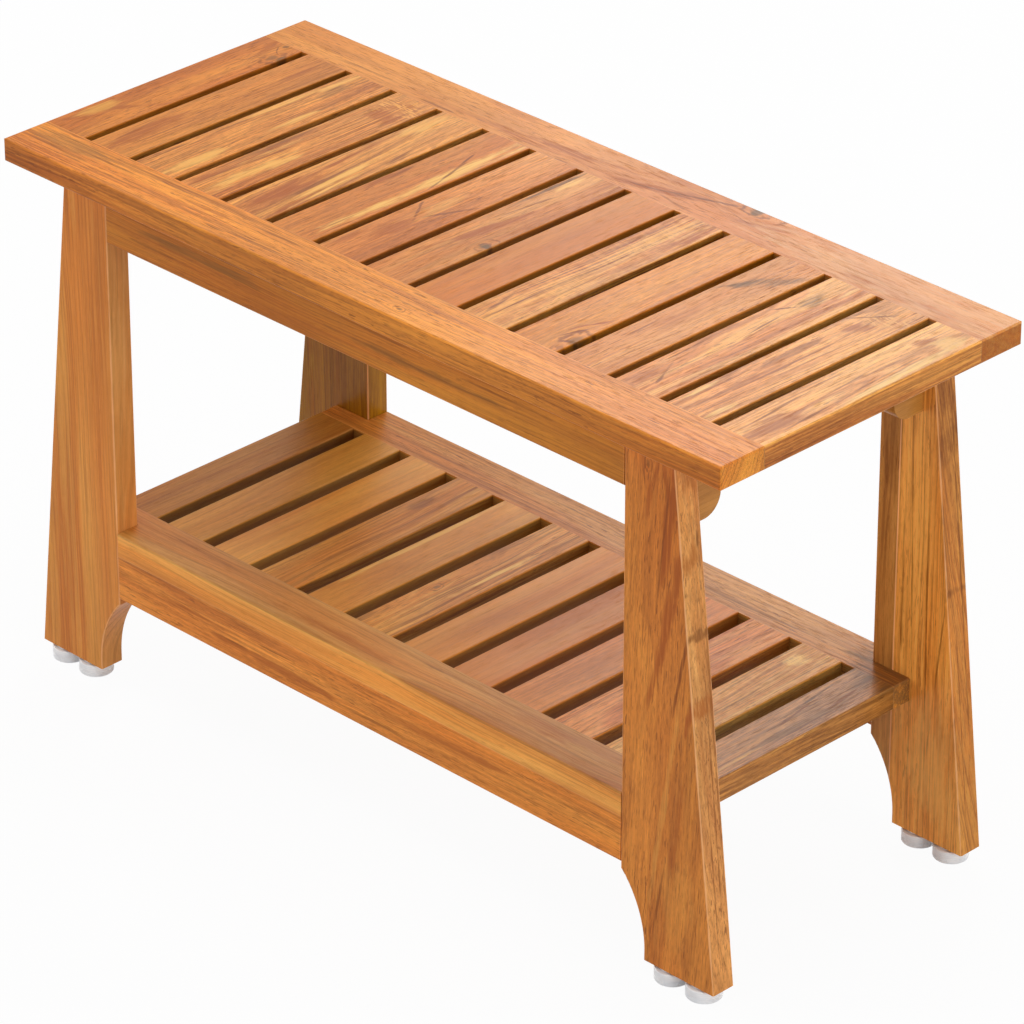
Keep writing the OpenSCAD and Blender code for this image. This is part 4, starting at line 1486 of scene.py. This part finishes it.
@dataclass
class Frame(BoardSet):
    """The aprons under the seat and the shelf, and the cross rails between the legs."""

    def boards(self) -> Iterable[Board]:
        """Aprons, then cross rails."""
        yield Board(
            "seat_apron_front", Grain.RAIL_UPRIGHT, Tone.AMBER, 71.0, (0.004, 0.10, -0.05), crisp=0.7,
            streaks=0.2, lines=0.35, pores=0.5, shade=0.8, tint=(0.95, 0.90, 0.42),
            marks=(
                slate(-170, 4, 70, 4.5, 0.5), dark(-120, 12, 50, 1.6, 0.7), slate(60, -2, 100, 4, 0.45),
                dark(20, 10, 70, 1.4, 0.6), dark(-220, -6, 40, 1.4, 0.6), dark(160, 6, 50, 1.4, 0.6),
            ),
        )
        yield Board("seat_apron_back", Grain.RAIL_UPRIGHT, Tone.RUSSET, 72.2, (0.004, 0.10, -0.05))
        yield Board(
            "shelf_apron_front", Grain.RAIL_UPRIGHT, Tone.AMBER, 73.6, (-0.01, 0.06, -0.04), crisp=1.6,
            streaks=0.2, lines=0.25, pores=0.9, shade=1.06,
            marks=(
                rust(-120, -6, 100, 4, 0.7), rust(80, 3, 120, 5, 0.6), dark(20, -10, 60, 1.5, 0.5),
                rust(-190, 3, 50, 2.5, 0.8), dark(-150, -4, 30, 1.2, 0.7), dark(-100, 6, 30, 1.2, 0.7),
                rust(-60, -9, 30, 4, 0.8),
            ),
        )
        yield Board("shelf_apron_back", Grain.RAIL_UPRIGHT, Tone.RUSSET, 74.9, (0.01, 0.08, -0.04))
        for node, tone, seed, tint in (
            ("cross_rail_left", Tone.RUSSET, 76.1, PLAIN),
            ("cross_rail_right", Tone.OLIVE, 77.3, (1.35, 1.06, 0.95)),
        ):
            yield Board(
                node, Grain.CROSS, tone, seed, (0.01, 0.11, -0.05), shade=0.9, tint=tint, contrast=0.1,
                streaks=0.08, straw=0.1, lines=0.12, pores=0.2,
            )


@dataclass
class LevellingFeet:
    """Eight one-piece nylon feet with a moulded thread.

    Attributes:
        effects: The shared node groups.
        pad: Radius of the pad.
        height: Height of a foot under the leg.
        collar: Radius of the collar.
        collar_height: Height of the collar.
        rim: Radius of the pad's rims.
        stem: Radius of the thread's crest.
        stem_length: Length of the stem above the collar.
        pitch: Rise of one turn of the thread.
        thread: Height of the thread's ridge over its root.
        slot: Width of the slot under the pad.
        slot_depth: Depth of that slot.
        rings: Number of shallow rings that the mould leaves low on the pad.
        ring_low: Height of the lowest ring.
        ring_step: Distance from ring to ring.
        ring_depth: Depth of a ring.
        steps: Number of steps in a rim's quarter round.
    """

    effects: Effects
    pad: float = 0.014
    height: float = 0.012
    collar: float = 0.010
    collar_height: float = 0.0015
    rim: float = 0.0012
    stem: float = 0.0039
    stem_length: float = 0.025
    pitch: float = 0.00125
    thread: float = 0.0006
    slot: float = 0.0022
    slot_depth: float = 0.0009
    rings: int = 3
    ring_low: float = 0.0020
    ring_step: float = 0.0011
    ring_depth: float = 0.00022
    steps: int = 5

    def pattern(self) -> bpy.types.Object:
        """Models one foot about Z, its pad's underside at z = 0.

        Returns:
            The foot.
        """
        top = self.height - self.collar_height
        arc = [math.radians(90 * step / self.steps) for step in range(self.steps + 1)]
        profile: list[tuple[float, float]] = []
        for turn in arc:
            inset, lift = self.rim * (1 - math.sin(turn)), self.rim * (1 - math.cos(turn))
            profile.append((self.pad - inset, lift))
        groove = self.pad - self.ring_depth
        for ring in range(self.rings):
            base = self.ring_low + self.ring_step * ring
            profile += [
                (self.pad, base), (groove, base + 0.2 * MM),
                (groove, base + 0.5 * MM), (self.pad, base + 0.7 * MM),
            ]
        for turn in arc:
            inset, drop = self.rim * (1 - math.cos(turn)), self.rim * (1 - math.sin(turn))
            profile.append((self.pad - inset, top - drop))
        root = self.stem - self.thread
        tip = self.height + self.stem_length
        profile += [
            (self.collar + 0.4 * MM, top), (self.collar, top + 0.3 * MM), (self.collar, self.height),
            (root, self.height), (root, tip - MM), (root - MM, tip),
        ]
        body = Workshop.turned("foot_pattern", profile, 72)
        slot_size = (self.pad * 1.1, self.slot, 2 * self.slot_depth)
        Workshop.cut(body, Workshop.bar("foot_slot", slot_size, (0, 0, 0)))
        turns = (self.stem_length - 4 * MM) / self.pitch
        first = self.height + 1.4 * MM
        thread = Workshop.helix("foot_thread", root - 0.1 * MM, self.stem, self.pitch, first, turns)
        whole = Workshop.joined("foot_pattern", [body, thread])
        Workshop.smooth(whole, 28)
        return whole

    def build(self) -> int:
        """Copies the pattern to every foot, dresses it and lets it ride on its body.

        Returns:
            The number of feet.
        """
        pattern = self.pattern()
        nodes = sorted(name for name in frame["nodes"] if name.startswith("foot_") and name != "foot_inserts")
        for number, node in enumerate(nodes):
            low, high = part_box(node)
            place = ((low[0] + high[0]) / 2, (low[1] + high[1]) / 2, low[2])
            foot = Workshop.copy(pattern, f"{node}_moulded", place)
            Workshop.dress(foot, NYLON.make(self.effects, seed=1.7 * number))
            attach(foot, node)
            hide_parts(node)
            LOG.info("built %s", foot.name)
        bpy.data.objects.remove(pattern)
        return len(nodes)


@dataclass
class WoodScrews:
    """The cross-recessed screws in the counterbores of the aprons and cross rails.

    Attributes:
        effects: The shared node groups.
        shank: Radius of the thread's crest.
        head: Radius of the head.
        head_height: Thickness of the head.
        root: Radius of the thread's root beside its crest.
        smooth: Share of the length below the head that has no thread.
        pitch: Rise of one turn of the thread.
        drive: Length of each bar of the recess.
        drive_width: Width of each bar.
        drive_depth: Depth of the recess.
    """

    effects: Effects
    shank: float = 0.0021
    head: float = 0.0042
    head_height: float = 0.0026
    root: float = 0.72
    smooth: float = 0.32
    pitch: float = 0.0018
    drive: float = 0.0044
    drive_width: float = 0.0009
    drive_depth: float = 0.0016

    def pattern(self, length: float) -> bpy.types.Object:
        """Models one screw about Z that points up, its head's seat at z = 0.

        Args:
            length: Length from the seat to the tip.

        Returns:
            The screw.
        """
        root = self.shank * self.root
        low = -self.head_height
        plain = length * self.smooth
        body = Workshop.turned(
            "screw_pattern",
            [
                (self.head * 0.62, low), (self.head * 0.86, low + 0.25 * MM),
                (self.head * 0.97, low + 0.8 * MM), (self.head, low + 1.6 * MM), (self.head, 0.0),
                (self.shank, 0.0), (self.shank, plain), (root, plain + 0.6 * MM),
                (root, length - 4 * MM), (0.2 * MM, length),
            ],
            32,
        )
        depth = 2 * self.drive_depth
        for size in ((self.drive, self.drive_width, depth), (self.drive_width, self.drive, depth)):
            Workshop.cut(body, Workshop.bar("drive", size, (0, 0, low)))
        start = plain + MM
        turns = (length - 5.5 * MM - start) / self.pitch
        thread = Workshop.helix("screw_thread", root - 0.1 * MM, self.shank, self.pitch, start, turns)
        whole = Workshop.joined("screw_pattern", [body, thread])
        Workshop.smooth(whole, 30)
        return whole

    def row(self, node: str, name: str, groups: Sequence[tuple[float, Sequence[Point]]]) -> None:
        """Builds all screws of one node as one piece.

        Args:
            node: The CAD node they stand for.
            name: Name of the new piece.
            groups: Length of a screw and the places of its seat, for each length.
        """
        copies: list[bpy.types.Object] = []
        for length, places in groups:
            pattern = self.pattern(length)
            for number, place in enumerate(places):
                copies.append(Workshop.copy(pattern, f"{name}_{len(copies)}_{number}", place))
            bpy.data.objects.remove(pattern)
        piece = Workshop.joined(name, copies)
        Workshop.dress(piece, STEEL.make(self.effects, seed=len(copies)))
        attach(piece, "bench")
        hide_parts(node)
        LOG.info("built %s: %d screws", name, len(copies))


@dataclass
class Joinery:
    """The screws that show in their counterbores, and the dowels and inserts inside.

    Attributes:
        effects: The shared node groups.
        apron_y: Distance of the aprons' middle from the bench's middle.
        apron_x: Places of the screws along an apron.
        cross_x: Distance of a cross rail's middle from the bench's middle.
        cross_y: Distance of its screws from the bench's middle.
        sink: Depth of a counterbore.
        bite: Length that a screw reaches into the board above.
        seat_apron: Height of the aprons under the seat.
        other_rails: Height of the shelf's aprons and of a cross rail's middle.
        seat_under: Height of the seat's underside.
        shelf_under: Height of the shelf's underside.
    """

    effects: Effects
    apron_y: float = 0.138
    apron_x: tuple[float, ...] = (-0.2047, -0.06823333, 0.06823333, 0.2047)
    cross_x: float = 0.309
    cross_y: float = 0.04625
    sink: float = 0.012
    bite: float = 0.013
    seat_apron: float = 0.0395
    other_rails: float = 0.0385
    seat_under: float = 0.440
    shelf_under: float = 0.125

    def build(self) -> None:
        """Builds the screws and dresses the hidden pieces."""
        screws = WoodScrews(self.effects)
        sides = (-1.0, 1.0)

        def group(
            under: float, height: float, spots: Iterable[tuple[float, float]]
        ) -> tuple[float, list[Point]]:
            """Length of the screws through a rail, and where their heads seat."""
            level = under - height + self.sink
            return height - self.sink + self.bite, [(x, y, level) for x, y in spots]

        aprons = [(x, side * self.apron_y) for x in self.apron_x for side in sides]
        cross = [(sx * self.cross_x, sy * self.cross_y) for sx in sides for sy in sides]
        seat = [
            group(self.seat_under, self.seat_apron, aprons),
            group(self.seat_under, self.other_rails, cross),
        ]
        screws.row("seat_screws", "seat_screws_cut", seat)
        screws.row("shelf_screws", "shelf_screws_cut", [group(self.shelf_under, self.other_rails, aprons)])
        Workshop.dress(frame["nodes"]["foot_inserts"], BRASS.make(self.effects))
        Workshop.dress(frame["nodes"]["apron_dowels"], BEECH.make(self.effects))
        LOG.info("dressed the inserts and the dowels")


# ---------------------------------------------------------------- studio


@dataclass
class Studio:
    """Camera, pale floor and soft light.

    Attributes:
        eye: The camera's place.
        target: What it looks at.
        focal_px: Focal length in pixels of the image.
        image_px: Width of that image in pixels.
        sensor_mm: Width of the camera's sensor in millimetres.
        floor_size: Side of the floor.
        floor_grey: Colour of the matt floor.
        floor_white: How much of the floor is plain white paper to the camera.
        sky: Strength of the soft light from all round.
        aim: What the lamps face.
        lamps: Name, place, side and power in watts of each lamp.
    """

    eye: Point = (2.8538, -2.8322, 2.4097)
    target: Point = (0.010164, 0.005488, 0.217085)
    focal_px: float = 5950.87
    image_px: float = 1024.0
    sensor_mm: float = 36.0
    floor_size: float = 30.0
    floor_grey: Colour = (0.86, 0.86, 0.86)
    floor_white: float = 0.95
    sky: float = 0.32
    aim: Point = (0.0, 0.0, 0.25)
    lamps: tuple[tuple[str, Point, float, float], ...] = (
        ("top", (0.0, -0.2, 3.2), 2.4, 37.0),
        ("sheen", (-1.70, 2.38, 2.05), 1.0, 22.0),
        ("left", (-3.4, -0.4, 0.9), 1.7, 30.0),
        ("back", (0.8, 3.4, 0.9), 1.7, 34.0),
        ("front", (-0.8, -3.6, 0.8), 1.7, 26.0),
        ("right", (3.4, 0.2, 0.8), 1.7, 36.0),
    )

    @staticmethod
    def facing(place: Point, target: Point) -> Any:
        """The turn of a camera or lamp at a place that looks at a target."""
        gaze = Vector(target) - Vector(place)
        return gaze.to_track_quat("-Z", "Y").to_euler()

    def camera(self) -> None:
        """Sets the camera where the photograph was taken from."""
        data = bpy.data.cameras.new("camera")
        data.sensor_width = self.sensor_mm
        data.lens = self.focal_px / self.image_px * self.sensor_mm
        data.clip_end = 2 * self.floor_size
        camera = bpy.data.objects.new("camera", data)
        bpy.context.collection.objects.link(camera)
        camera.location = self.eye
        camera.rotation_euler = self.facing(self.eye, self.target)
        bpy.context.scene.camera = camera

    def floor(self) -> None:
        """A pale floor that keeps the bench's soft shadow and stays under the lowest foot."""
        Workshop.fresh()
        bpy.ops.mesh.primitive_plane_add(size=self.floor_size, location=(0, 0, 0))
        plane = bpy.context.object
        plane.name = plane.data.name = "floor"
        material = bpy.data.materials.new("floor_pale")
        material.use_nodes = True
        material.node_tree.nodes.clear()
        g = Graph(material.node_tree)
        matt = g.add("ShaderNodeBsdfDiffuse")
        g.feed(matt.inputs["Color"], self.floor_grey)
        glow = g.add("ShaderNodeEmission")
        glow.inputs["Strength"].default_value = 1.0
        both = g.add("ShaderNodeMixShader")
        g.feed(both.inputs[0], g.times(g.seen(), self.floor_white))
        g.feed(both.inputs[1], matt.outputs[0])
        g.feed(both.inputs[2], glow.outputs[0])
        output = g.add("ShaderNodeOutputMaterial")
        g.feed(output.inputs["Surface"], both.outputs[0])
        Workshop.dress(plane, material)
        for body in frame["bodies"].values():
            under = plane.constraints.new("FLOOR")
            under.target = body
            under.floor_location = "FLOOR_NEGATIVE_Z"

    def lamp(self, name: str, place: Point, size: float, power: float) -> None:
        """Adds a square soft white lamp that faces the bench.

        Args:
            name: Name of the lamp.
            place: Where it hangs.
            size: Its side.
            power: Its power in watts.
        """
        data = bpy.data.lights.new(name, "AREA")
        data.shape = "SQUARE"
        data.size = size
        data.energy = power
        data.color = PLAIN
        lamp = bpy.data.objects.new(name, data)
        bpy.context.collection.objects.link(lamp)
        lamp.location = place
        lamp.rotation_euler = self.facing(place, self.aim)

    def light(self) -> None:
        """Soft light from all round, with lamps above, in front and to the right."""
        world = bpy.data.worlds.new("studio")
        bpy.context.scene.world = world
        world.use_nodes = True
        world.node_tree.nodes.clear()
        g = Graph(world.node_tree)
        sky = g.add("ShaderNodeBackground")
        g.feed(sky.inputs["Color"], PLAIN)
        g.feed(sky.inputs["Strength"], g.linear(g.seen(), 1.0 - self.sky, self.sky))
        output = g.add("ShaderNodeOutputWorld")
        g.feed(output.inputs["Surface"], sky.outputs[0])
        for name, place, size, power in self.lamps:
            self.lamp(name, place, size, power)

    def build(self) -> None:
        """Sets up everything round the bench."""
        self.camera()
        self.floor()
        self.light()
        bpy.context.scene.view_settings.view_transform = "Standard"


def main() -> None:
    """Dresses and builds every sub-assembly in order."""
    logging.basicConfig(level=logging.INFO, format="%(message)s")
    Studio().build()
    effects = Effects()
    seat = SeatPanel(effects, TeakFinish(tint=(0.96, 0.91, 0.80)))
    # the legs take a strong painted highlight along their eased edges
    legs = LegSet(effects, TeakFinish(arris=1.0))
    for group in (seat, ShelfPanel(effects), legs, Frame(effects)):
        LOG.info("%s: %d boards", type(group).__name__, group.dress())
    LOG.info("LevellingFeet: %d feet", LevellingFeet(effects).build())
    Joinery(effects).build()
    Workshop.fresh()


if __name__ == "__main__":
    main()
